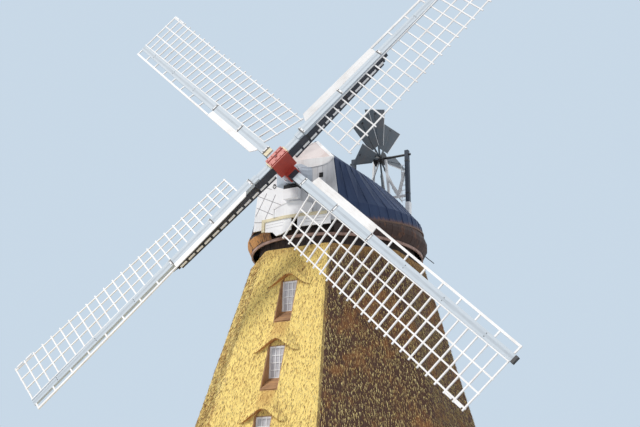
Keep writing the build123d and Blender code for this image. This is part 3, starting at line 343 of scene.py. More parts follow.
@dataclass(frozen=True)
class Studio:
    """Pale floor, soft lamps and a pale background."""

    floor_half: float = 300.0
    floor_pale: Colour = (0.58, 0.60, 0.62)
    floor_worn: Colour = (0.54, 0.56, 0.58)
    background: Colour = (0.58, 0.69, 0.80)
    ambient: Colour = (0.93, 0.96, 1.0)
    ambient_strength: float = 0.5
    lamps: tuple[Lamp, ...] = (
        Lamp("key", 2.35, 14.0, 44.0, -40.0, (1.0, 0.97, 0.92)),
        Lamp("fill", 0.55, 60.0, 50.0, 60.0, (0.93, 0.96, 1.0)),
        Lamp("rim", 0.5, 60.0, 40.0, 170.0, (1.0, 1.0, 1.0)),
    )

    def build(self) -> None:
        """Make the floor, the lamps and the world."""
        self.floor()
        for lamp in self.lamps:
            lamp.build()
        self.world()
        bpy.context.scene.view_settings.view_transform = "Standard"

    def floor(self) -> None:
        """Wide level floor, which isn't part of the object."""
        half = self.floor_half
        corners = [(x, y, 0) for x, y in rectangle((-half, -half), (half, half))]
        mesh = bpy.data.meshes.new("floor")
        mesh.from_pydata(corners, [], [(0, 1, 2, 3)])
        floor = bpy.data.objects.new("floor", mesh)
        bpy.context.scene.collection.objects.link(floor)
        graph = Graph("floor")
        colour = graph.mix(self.floor_pale, self.floor_worn, graph.noise(0.4))
        mesh.materials.append(graph.finish(colour, 0.9))

    def world(self) -> None:
        """Soft light from all round, and a plain pale background for the camera, metal and glass."""
        world = bpy.data.worlds.new("studio")
        bpy.context.scene.world = world
        world.use_nodes = True
        tree = Tree(world.node_tree)
        rays = tree.node("ShaderNodeLightPath").outputs
        seen = rays["Is Camera Ray"]
        for name in ("Is Glossy Ray", "Is Transmission Ray"):
            seen = tree.math("MAXIMUM", seen, rays[name])
        soft = {"Color": self.ambient, "Strength": self.ambient_strength}
        light = tree.node("ShaderNodeBackground", {}, soft)
        backdrop = tree.node("ShaderNodeBackground", {}, {"Color": self.background})
        choice = tree.node("ShaderNodeMixShader", {}, {0: seen, 1: light.outputs[0], 2: backdrop.outputs[0]})
        tree.node("ShaderNodeOutputWorld", {}, {0: choice.outputs[0]})


class Finish:
    """A look that several pieces share, and the record's slot that it stands for."""

    slot: str

    def material(self) -> Material:
        """Build the look's node tree."""
        raise NotImplementedError


class Palette(dict):
    """Materials by finish, each built when it is first asked for."""

    def __missing__(self, finish: Finish) -> Material:
        """Build and keep the material of a finish."""
        self[finish] = finish.material()
        return self[finish]


@dataclass(frozen=True)
class Thatch(Finish):
    """Straw: golden on the sides towards the key lamp, and dark on the other sides, partly from weathering
    and partly as painted shade.

    The middle of the wall under each sill is a darker orange, from the height where this band starts up to
    the one where it ends, and the top under the curb is in shadow.
    """

    name: str = "straw"
    slot: str = "thatch"
    gold: Colour = (0.91, 0.69, 0.22)
    pale: Colour = (0.97, 0.84, 0.40)
    shadow: Colour = (0.46, 0.26, 0.08)
    # Colours of the shaded sides: straw darkened by weathering and by painted shade.
    weathered_in_shade: Colour = (0.078, 0.036, 0.024)
    bleached_in_shade: Colour = (0.39, 0.21, 0.105)
    rust: Colour = (0.42, 0.17, 0.045)
    sill_band: Colour = (0.56, 0.33, 0.10)
    # Orange-brown of cut straw on faces turned down, darkened as painted shade.
    under: Colour = (0.55, 0.25, 0.075)
    # Way in which the straw turns dark: partly weathering, partly painted shade on the sides away from the
    # key lamp.
    shade_and_damp_way: tuple[float, float, float] = (0.78, -0.10, 0.0)
    storey: float = 2.2
    first_sill: float = 4.42
    sill_band_start: Span = (2.6, 3.4)
    sill_band_end: Span = (10.6, 9.4)
    top_shadow: Span = (11.15, 11.75)
    relief: float = 0.03

    def material(self) -> Material:
        """Build the node tree."""
        graph = Graph(self.name)
        dash = graph.streaks(34, 34, 5, detail=2.0)
        wisp = graph.streaks(9, 9, 2.2, detail=2.0)
        broad = graph.noise(0.9, 4.0)
        tint = graph.tint()
        tone = dash * 0.35 + tint * 0.50 + wisp * 0.20
        sunny = graph.mix(self.gold, self.pale, tone.step(0.28, 0.72))
        sunny = graph.mix(sunny, self.shadow, (dash + wisp * 0.4).step(0.60, 0.47) * 0.5)
        sunny = graph.mix(sunny, self.rust, (broad + tint * 0.25).step(0.62, 0.80) * 0.55)
        # Painted shade: the sides facing right and the rear take these dark colours, partly for weathering
        # and partly for shade.
        shaded = graph.mix(self.weathered_in_shade, self.bleached_in_shade, tone.step(0.50, 0.86))
        shaded = graph.mix(shaded, self.rust, (broad + wisp * 0.5).step(0.74, 0.98) * 0.40)
        shade_and_damp = graph.dot(graph.facing, self.shade_and_damp_way) + (broad - 0.5) * 0.20
        shade_and_damp = shade_and_damp + graph.dot(graph.facing, (0.0, 0.9, 0.0)).step(0.0, 1.0) * 0.3
        colour = graph.mix(sunny, shaded, shade_and_damp.step(0.28, 0.50))
        below_sill = ((graph.z - self.first_sill) / self.storey).part().step(0.62, 0.86)
        channel = below_sill * (abs(graph.x) + wisp * 0.3).step(0.52, 0.30)
        channel = channel * graph.z.step(*self.sill_band_end) * graph.z.step(*self.sill_band_start)
        colour = graph.mix(colour, self.sill_band, channel * 0.7)
        colour = graph.mix(colour, self.shadow, (graph.z + wisp * 0.5).step(*self.top_shadow) * 0.6)
        # Painted shade: faces turned downwards, under the window hoods, take the orange-brown of cut straw in
        # shade.
        colour = graph.mix(colour, self.under, graph.dot(graph.facing, tuple(UP)).step(-0.25, -0.55))
        return graph.finish(colour, 0.85, dash * 0.7 + wisp * 0.5, self.relief)


class Grain(Enum):
    """Direction of a piece's boards and fibres, as repeats a metre along each axis."""

    UPRIGHT = (24, 24, 1.6)
    LEVEL = (1.6, 24, 24)
    BACK = (24, 1.6, 24)
    ARM = (1.6, 26, 26)


@dataclass(frozen=True)
class Paint(Finish):
    """Painted or bare timber and sheet, with streaks of dirt along its grain."""

    name: str
    slot: str
    colour: Colour
    dirt: Colour
    amount: float = 0.35
    roughness: float = 0.6
    metallic: float = 0.0
    grain: Grain = Grain.UPRIGHT
    uneven: float = 0.0
    relief: float = 0.002

    def material(self) -> Material:
        """Build the node tree."""
        graph = Graph(self.name)
        streak = self.streaks(graph)
        cloud = graph.noise(1.7, 4.0)
        speck = graph.noise(45.0, 2.0)
        dirty = (cloud * 0.5 + streak * 0.35 + speck * 0.15).step(0.45, 0.64) * self.amount
        dirty = dirty + graph.tint() * self.uneven
        colour = graph.mix(self.colour, self.dirt, dirty)
        height = streak * 0.7 + speck * 0.3
        return graph.finish(colour, dirty * 0.2 + self.roughness, height, self.relief, self.metallic)

    def streaks(self, graph: Graph) -> Value:
        """Streaks along the grain, which follows the arms on the sails."""
        if self.grain is not Grain.ARM:
            return graph.streaks(*self.grain.value)
        drawn = (part * scale for part, scale in zip(graph.arm_place(), self.grain.value))
        return graph.noise(1.0, 4.0, graph.point(*drawn))


@dataclass(frozen=True)
class Sheet(Finish):
    """Dark roof sheet, with rust along the eave, which rises towards the rear."""

    name: str = "roof_sheet"
    slot: str = "roof_sheet"
    colour: Colour = (0.008, 0.024, 0.076)
    faded: Colour = (0.017, 0.038, 0.100)
    rust: Colour = (0.34, 0.15, 0.06)
    rusty: Span = (12.62, 12.40)
    eave_slope: float = 0.10
    relief: float = 0.001

    def material(self) -> Material:
        """Build the node tree."""
        graph = Graph(self.name)
        streak = graph.streaks(0.0, 14, 1.2)
        cloud = graph.noise(1.3, 5.0)
        colour = graph.mix(self.colour, self.faded, (streak * 0.3 + cloud * 0.7).step(0.42, 0.66))
        low = graph.z - graph.y * self.eave_slope + (streak - 0.5) * 0.5
        colour = graph.mix(colour, self.rust, low.step(*self.rusty) * 0.55)
        return graph.finish(colour, cloud * 0.15 + 0.60, streak, self.relief)


@dataclass(frozen=True)
class WeatheredAndShaded(Finish):
    """Skirt boards: warm brown on the left, nearly black on the right, where painted shade darkens them."""

    name: str = "skirt_boards"
    slot: str = "brown_boards"
    warm: Colour = (0.56, 0.27, 0.09)
    dark: Colour = (0.055, 0.030, 0.024)
    rust: Colour = (0.17, 0.070, 0.035)
    turning_x: Span = (-1.2, 0.4)
    relief: float = 0.006

    def material(self) -> Material:
        """Build the node tree."""
        graph = Graph(self.name)
        streak = graph.streaks(16, 16, 2.0)
        cloud = graph.noise(2.4, 4.0)
        left = graph.mix(self.warm, self.dark, (streak * 0.5 + cloud * 0.5).step(0.50, 0.62) * 0.8)
        right = graph.mix(self.dark, self.rust, (streak * 0.4 + cloud * 0.6).step(0.52, 0.66) * 0.8)
        # Painted shade: the boards turn nearly black towards the right, away from the key lamp.
        colour = graph.mix(left, right, (graph.x + cloud).step(*self.turning_x))
        return graph.finish(colour, 0.8, streak, self.relief)


@dataclass(frozen=True)
class Whip(Finish):
    """Pale paint of the sails' backbones, worn in streaks, with a darker line of painted shade along the
    middle.
    """

    name: str = "whip_paint"
    slot: str = "pale_blue_paint"
    colour: Colour = (0.50, 0.56, 0.62)
    worn_and_shaded: Colour = (0.28, 0.32, 0.37)
    shaded_middle: Span = (0.055, 0.020)
    relief: float = 0.003

    def material(self) -> Material:
        """Build the node tree."""
        graph = Graph(self.name)
        out, across, _ = graph.arm_place()
        streak = graph.noise(1.0, 4.0, graph.point(out * 1.5, across * 30, 0.0))
        # Painted shade: the darker line along the middle of the whip.
        line = across.step(*self.shaded_middle) * (streak + 0.2)
        colour = graph.mix(self.colour, self.worn_and_shaded, line * 0.6 + streak.step(0.5, 0.75) * 0.35)
        return graph.finish(colour, 0.6, streak, self.relief)


WHITE = Paint("white_paint", "white_paint", (0.84, 0.84, 0.85), (0.55, 0.51, 0.49), 0.38)
BREAST_WHITE = Paint("breast_white", "white_paint", (0.90, 0.90, 0.92), (0.66, 0.65, 0.70))
HIP_PINK = Paint("hip_paint", "white_paint", (0.70, 0.63, 0.62), (0.50, 0.38, 0.35), 0.5)
HEM_PINK = Paint("hem_paint", "dark_timber", (0.42, 0.27, 0.22), (0.14, 0.07, 0.05), 0.8, grain=Grain.LEVEL)
SAIL_WHITE = Paint("sail_white", "white_paint", (0.88, 0.87, 0.87), (0.58, 0.52, 0.48), 0.38, grain=Grain.ARM)
CREAM = Paint("cream_paint", "cream_paint", (0.74, 0.66, 0.46), (0.46, 0.34, 0.20), 0.45, grain=Grain.LEVEL)
PALE_BLUE = Paint("pale_blue_paint", "pale_blue_paint", (0.46, 0.52, 0.60), (0.28, 0.31, 0.37), 0.4)
# Painted shade: the breast's white paint, greyed on its right side, which stands in shade.
SHADED_WHITE_BOARDS = Paint("shaded_white_boards", "white_paint", (0.60, 0.61, 0.64), (0.40, 0.38, 0.38), 0.5)
# Grey of the boards' level joints, and of the painted shadow lines that the lattice casts on the breast.
JOINT_AND_SHADOW_LINE = Paint("thin_line", "white_paint", (0.36, 0.35, 0.37), (0.24, 0.20, 0.19), 0.5)
STOCK_PAINT = Paint("stock_paint", "stock_paint", (0.025, 0.030, 0.045), (0.085, 0.080, 0.090), 0.5, 0.55,
                    grain=Grain.ARM)
DARK_TIMBER = Paint("dark_timber", "dark_timber", (0.030, 0.020, 0.018), (0.085, 0.055, 0.045), 0.6,
                    uneven=0.5)
SKIRT_BOARDS = WeatheredAndShaded()
SILL_BOARDS = Paint("sill_boards", "brown_boards", (0.42, 0.22, 0.09), (0.14, 0.07, 0.04), 0.6,
                    grain=Grain.LEVEL, uneven=0.4)
FLOOR_BOARDS = Paint("floor_boards", "floor_boards", (0.42, 0.30, 0.19), (0.2, 0.13, 0.08), grain=Grain.BACK)
MASONRY = Paint("masonry", "masonry", (0.36, 0.30, 0.26), (0.20, 0.16, 0.14), 0.6, 0.85, grain=Grain.LEVEL)
BRICK = Paint("brick", "masonry", (0.34, 0.125, 0.075), (0.12, 0.055, 0.045), 0.5, 0.85,
              grain=Grain.LEVEL, uneven=0.5)
RED_IRON = Paint("red_iron", "red_iron", (0.46, 0.060, 0.040), (0.22, 0.035, 0.035), 0.5, 0.45)
DARK_IRON = Paint("dark_iron", "dark_iron", (0.022, 0.024, 0.028), (0.09, 0.05, 0.03), 0.4, 0.5, 0.2)
# Painted shade: black blocks that stand for the shadowed slot and opening in the breast; also the black iron
# of the ring and staple.
HOLE_SHADE_AND_IRON = Paint("hole_shade_and_black_iron", "dark_iron", (0.010, 0.010, 0.012), (0.03, 0.025, 0.02), 0.4, 0.8)
FAN_PAINT = Paint("fan_paint", "fan_paint", (0.085, 0.105, 0.125), (0.17, 0.14, 0.13), 0.5)
POST_PAINT = Paint("post_paint", "stock_paint", (0.030, 0.042, 0.064), (0.085, 0.095, 0.12), 0.5)
PANE = Paint("pane", "pane", (0.60, 0.58, 0.60), (0.26, 0.27, 0.31), 0.45, 0.08)
DOOR_PAINT = Paint("door_paint", "door_paint", (0.24, 0.10, 0.05), (0.10, 0.05, 0.035), 0.5, uneven=0.35)
ROOF_SHEET = Sheet()
ROOF_EDGE = Paint("roof_edge", "roof_sheet", (0.15, 0.080, 0.050), (0.07, 0.06, 0.07), 0.6, grain=Grain.BACK)
WHIP_PAINT = Whip()
STRAW = Thatch()

FINISHED_NODES: dict[Finish, str] = {
    MASONRY: "base_wall ground_floor door_steps",
    FLOOR_BOARDS: "lower_floor middle_floor top_floor cap_deck",
    STRAW: "thatch_front thatch_front_right thatch_right thatch_rear_right "
           "thatch_rear thatch_rear_left thatch_left thatch_front_left",
    DARK_TIMBER: "curb_band curb_ring cap_ring sheers shaft_beams skirt_left skirt_right",
    SILL_BOARDS: "window_linings",
    PANE: "window_glass",
    DOOR_PAINT: "door_leaves",
    HEM_PINK: "skirt_hem",
    BREAST_WHITE: "breast_left hatch_box plain_boards",
    # Painted shade: the breast's right side takes the greyed copy of its white paint.
    SHADED_WHITE_BOARDS: "breast_right",
    PALE_BLUE: "neck_collar windshaft",
    ROOF_SHEET: "roof_lower_left roof_lower_right rear_wall roof_upper ridge_roll",
    HIP_PINK: "front_hip",
    WHITE: "window_sashes door_frames valance fan_struts",
    CREAM: "moulding",
    POST_PAINT: "fan_posts",
    RED_IRON: "poll_end",
    STOCK_PAINT: "stock_front stock_rear",
    WHIP_PAINT: "whips",
    SAIL_WHITE: "windboards leading_rails lattice_1 lattice_2 lattice_3 lattice_4",
    DARK_IRON: "fan_shaft fan_hub",
    FAN_PAINT: "fan_blades",
}

PALETTE = Palette()


class Shape(Enum):
    """Form of a small part that repeats."""

    BLOCK = "block"
    STUD = "stud"


def place_piece(piece: Object, body: str) -> Object:
    """Ride a finished piece on its body."""
    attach(piece, body)
    log.info("made %s with %d faces", piece.name, len(piece.data.polygons))
    return piece


class Recipe(Tree):
    """Geometry Nodes tree that turns a host mesh into repeated parts."""

    def __init__(self, name: str) -> None:
        """Start a tree with a mesh going in and a mesh coming out."""
        super().__init__(bpy.data.node_groups.new(name, "GeometryNodeTree"))
        for way in ("OUTPUT", "INPUT"):
            self.tree.interface.new_socket("Geometry", in_out=way, socket_type="NodeSocketGeometry")
        self.start = self.node("NodeGroupInput")
        self.end = self.node("NodeGroupOutput")

    def entry(self, name: str, kind: str = "Float") -> NodeSocket:
        """Add a named input of the tree."""
        self.tree.interface.new_socket(name, in_out="INPUT", socket_type="NodeSocket" + kind)
        return self.start.outputs[name]

    def attribute(self, name: str) -> NodeSocket:
        """Vector stored on the host's points."""
        settings = {"data_type": "FLOAT_VECTOR"}
        return self.node("GeometryNodeInputNamedAttribute", settings, {"Name": name}).outputs[0]

    def random(self, low: float, high: float, seed: NodeSocket) -> Value:
        """Random number for each point."""
        node = self.node("FunctionNodeRandomValue", {"data_type": "FLOAT"}, {2: low, 3: high, "Seed": seed})
        return Value(self, node.outputs[1])

    def close(self, copies: NodeSocket, seed: NodeSocket, material: NodeSocket) -> None:
        """End the tree in real mesh.

        Args:
            copies: instances of the part.
            seed: seed of the random tint that each part carries.
            material: material of every part.
        """
        kept = {"data_type": "FLOAT", "domain": "INSTANCE"}
        tint = {"Geometry": copies, "Name": "tint", "Value": self.random(0, 1, seed)}
        tinted = self.node("GeometryNodeStoreNamedAttribute", kept, tint).outputs[0]
        real = self.node("GeometryNodeRealizeInstances", {}, {0: tinted}).outputs[0]
        painted = self.node("GeometryNodeSetMaterial", {}, {0: real, "Material": material}).outputs[0]
        self.tree.links.new(painted, self.end.inputs[0])

    def make(self, name: str, body: str, finish: Finish, host: Mesh, values: dict[str, float]) -> Object:
        """Run the tree on a host mesh.

        Args:
            name: the piece's name.
            body: the body it rides on.
            finish: its finish.
            host: mesh that carries the points or the faces.
            values: the tree's other inputs by name.

        Returns:
            The piece as a plain mesh.
        """
        piece = bpy.data.objects.new(name, host)
        bpy.context.scene.collection.objects.link(piece)
        modifier = piece.modifiers.new(name, "NODES")
        modifier.node_group = self.tree
        values = {**values, "Material": PALETTE[finish]}
        for item in self.tree.interface.items_tree:
            if item.item_type == "SOCKET" and item.in_out == "INPUT" and item.name in values:
                modifier[item.identifier] = values[item.name]
        depsgraph = bpy.context.evaluated_depsgraph_get()
        evaluated = piece.evaluated_get(depsgraph)
        mesh = bpy.data.meshes.new_from_object(evaluated, preserve_all_data_layers=True, depsgraph=depsgraph)
        piece.modifiers.remove(modifier)
        piece.data = mesh
        return place_piece(piece, body)


def straw_recipe(facing_out: float = 0.35, lengths: Span = (0.5, 1.4)) -> Recipe:
    """Tree that lays slivers of straw down the slope of a wall.

    Args:
        facing_out: least cosine between a face that takes straw and the way out from the axis.
        lengths: shortest and longest sliver, as shares of the given length.

    Returns:
        The tree, with its sizes as named inputs.
    """
    recipe = Recipe("straw")
    density = recipe.entry("Density")
    length = Value(recipe, recipe.entry("Length"))
    width = recipe.entry("Width")
    lift = recipe.entry("Lift")
    stray = recipe.entry("Stray")
    seed = recipe.entry("Seed", "Int")
    material = recipe.entry("Material", "Material")
    place = recipe.node("GeometryNodeInputPosition").outputs[0]
    normal = recipe.node("GeometryNodeInputNormal").outputs[0]
    outward = recipe.vector("NORMALIZE", recipe.vector("MULTIPLY", place, (1, 1, 0)))
    outside = recipe.math("GREATER_THAN", recipe.dot(normal, outward), facing_out)
    points = recipe.node(
        "GeometryNodeDistributePointsOnFaces",
        {"distribute_method": "RANDOM"},
        {"Mesh": recipe.start.outputs[0], "Selection": outside, "Density": density, "Seed": seed},
    )
    facing = points.outputs["Normal"]
    sloping = recipe.stretch(facing, recipe.dot(facing, tuple(UP)))
    fall = recipe.vector("NORMALIZE", recipe.vector("SUBTRACT", sloping, tuple(UP)))
    chance = {0: (-1, -1, -1), 1: (1, 1, 1), "Seed": seed}
    astray = recipe.node("FunctionNodeRandomValue", {"data_type": "FLOAT_VECTOR"}, chance).outputs[0]
    way = recipe.vector("ADD", fall, recipe.stretch(facing, lift))
    way = recipe.vector("ADD", way, recipe.stretch(astray, stray))
    turn = recipe.node("FunctionNodeAlignRotationToVector", {"axis": "Z"}, {"Vector": way}).outputs[0]
    sliver = {"Vertices": 3, "Side Segments": 1, "Radius Top": 0.0, "Radius Bottom": 1.0, "Depth": 1.0}
    copies = recipe.node("GeometryNodeInstanceOnPoints", {}, {
        "Points": points.outputs["Points"],
        "Instance": recipe.node("GeometryNodeMeshCone", {"fill_type": "NGON"}, sliver).outputs["Mesh"],
        "Rotation": turn,
        "Scale": recipe.point(width, width, length * recipe.random(*lengths, seed)),
    })
    recipe.close(copies.outputs[0], seed, material)
    return recipe


def repeat_recipe(shape: Shape) -> Recipe:
    """Tree that sets a block or a stud on each point of its host.

    Args:
        shape: form of each part, one unit in size.

    Returns:
        The tree, which reads each part's size and directions from the host's points.
    """
    recipe = Recipe(shape.value)
    jitter = Value(recipe, recipe.entry("Jitter"))
    seed = recipe.entry("Seed", "Int")
    material = recipe.entry("Material", "Material")
    if shape is Shape.BLOCK:
        form = recipe.node("GeometryNodeMeshCube", {}, {"Size": (1, 1, 1)})
    else:
        form = recipe.node("GeometryNodeMeshCylinder", {}, {"Vertices": 8, "Radius": 0.5, "Depth": 1.0})
    axes = {"Primary Axis": recipe.attribute("out"), "Secondary Axis": recipe.attribute("along")}
    turn = recipe.node("FunctionNodeAxesToRotation", {"primary_axis": "Z", "secondary_axis": "X"}, axes)
    thicker = jitter * recipe.random(-1, 1, seed) + 1
    copies = recipe.node("GeometryNodeInstanceOnPoints", {}, {
        "Points": recipe.start.outputs[0],
        "Instance": form.outputs["Mesh"],
        "Rotation": turn.outputs[0],
        "Scale": recipe.vector("MULTIPLY", recipe.attribute("size"), recipe.point(1, 1, thicker)),
    })
    recipe.close(copies.outputs[0], seed, material)
    return recipe


class Row:
    """Like parts set out over the mill and made by one Geometry Nodes tree."""

    recipes: dict[Shape, Recipe] = {}
    seed = 7

    def __init__(self, name: str, body: str, finish: Finish, shape: Shape = Shape.BLOCK,
                 jitter: float = 0.0) -> None:
        """Start an empty set.

        Args:
            name: the piece's name.
            body: the body it rides on.
            finish: its finish.
            shape: form of each part.
            jitter: how unevenly thick the parts are, as a share.
        """
        self.name = name
        self.body = body
        self.finish = finish
        self.shape = shape
        self.jitter = jitter
        self.places: dict[str, list[float]] = {"co": [], "out": [], "along": [], "size": []}

    def add(self, centre: Vector, out: Vector, along: Vector, size: Place) -> None:
        """Place one part: its size is measured along, across and out."""
        for key, value in zip(self.places, (centre, out, along, size)):
            self.places[key].extend(value)

    def upright(self, place: Place, size: Place, turn: Matrix) -> None:
        """Place one part on an upright wall, which faces the front until it is turned."""
        self.add(turn @ Vector(place), turn @ FRONT, turn @ ACROSS, size)

    def stud(self, place: Place, width: float, height: float, frame: Matrix) -> None:
        """Place one round part that stands along the third axis of a frame."""
        turn = frame.to_3x3()
        self.add(frame @ Vector(place), turn @ UP, turn @ ACROSS, (width, width, height))

    def build(self) -> Object:
        """Make the piece."""
        if self.shape not in self.recipes:
            self.recipes[self.shape] = repeat_recipe(self.shape)
        host = bpy.data.meshes.new(self.name)
        host.vertices.add(len(self.places["co"]) // 3)
        host.vertices.foreach_set("co", self.places["co"])
        for key in ("out", "along", "size"):
            host.attributes.new(key, "FLOAT_VECTOR", "POINT").data.foreach_set("vector", self.places[key])
        values = {"Jitter": self.jitter, "Seed": self.seed}
        return self.recipes[self.shape].make(self.name, self.body, self.finish, host, values)


class Batch:
    """Solid blocks, bars and rods gathered in one mesh that rides on a body."""

    def __init__(self, name: str, body: str, finish: Finish) -> None:
        """Start an empty piece."""
        self.name = name
        self.body = body
        self.finish = finish
        self.corners: list[Vector] = []
        self.faces: list[tuple[int, ...]] = []

    def solid(self, rings: list[list[Vector]]) -> None:
        """Add a closed form, with its faces turned outwards.

        Args:
            rings: cross-sections from one end to the other, with as many points each.
        """
        first = len(self.corners)
        count = len(rings[0])
        for ring in rings:
            self.corners.extend(Vector(corner) for corner in ring)
        faces = [tuple(range(count))[::-1], tuple((len(rings) - 1) * count + i for i in range(count))]
        for low in range(0, (len(rings) - 1) * count, count):
            for i in range(count):
                j = (i + 1) % count
                faces.append((low + i, low + j, low + count + j, low + count + i))
        middle = sum(self.corners[first:], Vector()) / (count * len(rings))
        volume = 0.0
        for face in faces:
            a, *rest = (self.corners[first + i] - middle for i in face)
            volume += sum(a.dot(b.cross(c)) for b, c in zip(rest, rest[1:]))
        for face in faces:
            turned = face if volume > 0 else face[::-1]
            self.faces.append(tuple(first + i for i in turned))

    def block(self, corner: Place, opposite: Place, frame: Matrix = Matrix()) -> None:
        """Add a block between two opposite corners, in a frame."""
        low, high = ([pick(pair) for pair in zip(corner, opposite)] for pick in (min, max))
        self.solid([[frame @ Vector((x, y, z)) for x, y in rectangle(low, high)] for z in (low[2], high[2])])

    def pair(self, corners: tuple[Place, Place], frame: Matrix) -> None:
        """Add a block on each side of a frame's middle, left first."""
        for side in (-1, 1):
            self.block(*((side * x, y, z) for x, y, z in corners), frame)

    def around(self, middle: Vector, halves: Place) -> None:
        """Add a block by its middle and half its sizes."""
        self.block(middle - Vector(halves), middle + Vector(halves))

    def sweep(self, sections: list[tuple[float, list[Span]]], frame: Matrix) -> None:
        """Add a closed form along a frame's first axis, by its cross-sections and their places."""
        self.solid([[frame @ Vector((x, y, z)) for y, z in corners] for x, corners in sections])

    def bar(self, start: Vector, end: Vector, face: Vector, form: Place) -> None:
        """Add a bar on a surface.

        Args:
            start: where its middle line starts on the surface.
            end: where it ends.
            face: the surface's outward direction.
            form: its width, its height over the surface and how far it reaches under it.
        """
        width, depth, sunk = form
        run = (end - start).normalized()
        across = run.cross(face).normalized() * (width / 2)
        up = across.cross(run).normalized()
        if up.dot(face) < 0:
            up = -up
        rings = []
        for spot in (start, end):
            low = spot - up * sunk
            high = spot + up * depth
            rings.append([low - across, low + across, high + across, high - across])
        self.solid(rings)

    def rod(self, start: Vector, end: Vector, radius: float, sides: int = 8) -> None:
        """Add a rod between two points.

        Args:
            start: middle of its first end.
            end: middle of its other end.
            radius: its radius.
            sides: number of flat sides round it.
        """
        run = (end - start).normalized()
        side = run.orthogonal().normalized() * radius
        turns = [Matrix.Rotation(2 * math.pi * i / sides, 3, run) @ side for i in range(sides)]
        self.solid([[spot + turn for turn in turns] for spot in (start, end)])

    def loop(self, centre: Vector, normal: Vector, radius: float, thickness: float, sides: int = 12) -> None:
        """Add a ring made of short rods.

        Args:
            centre: the ring's middle.
            normal: direction of its axis.
            radius: radius of its middle line.
            thickness: radius of the rods.
            sides: number of rods.
        """
        side = normal.orthogonal().normalized() * radius
        spots = [centre + Matrix.Rotation(2 * math.pi * i / sides, 3, normal) @ side for i in range(sides)]
        for start, end in zip(spots, spots[1:] + spots[:1]):
            self.rod(start, end, thickness, 6)

    def build(self) -> Object:
        """Make the piece."""
        mesh = bpy.data.meshes.new(self.name)
        mesh.from_pydata(self.corners, [], self.faces)
        mesh.materials.append(PALETTE[self.finish])
        piece = bpy.data.objects.new(self.name, mesh)
        bpy.context.scene.collection.objects.link(piece)
        return place_piece(piece, self.body)


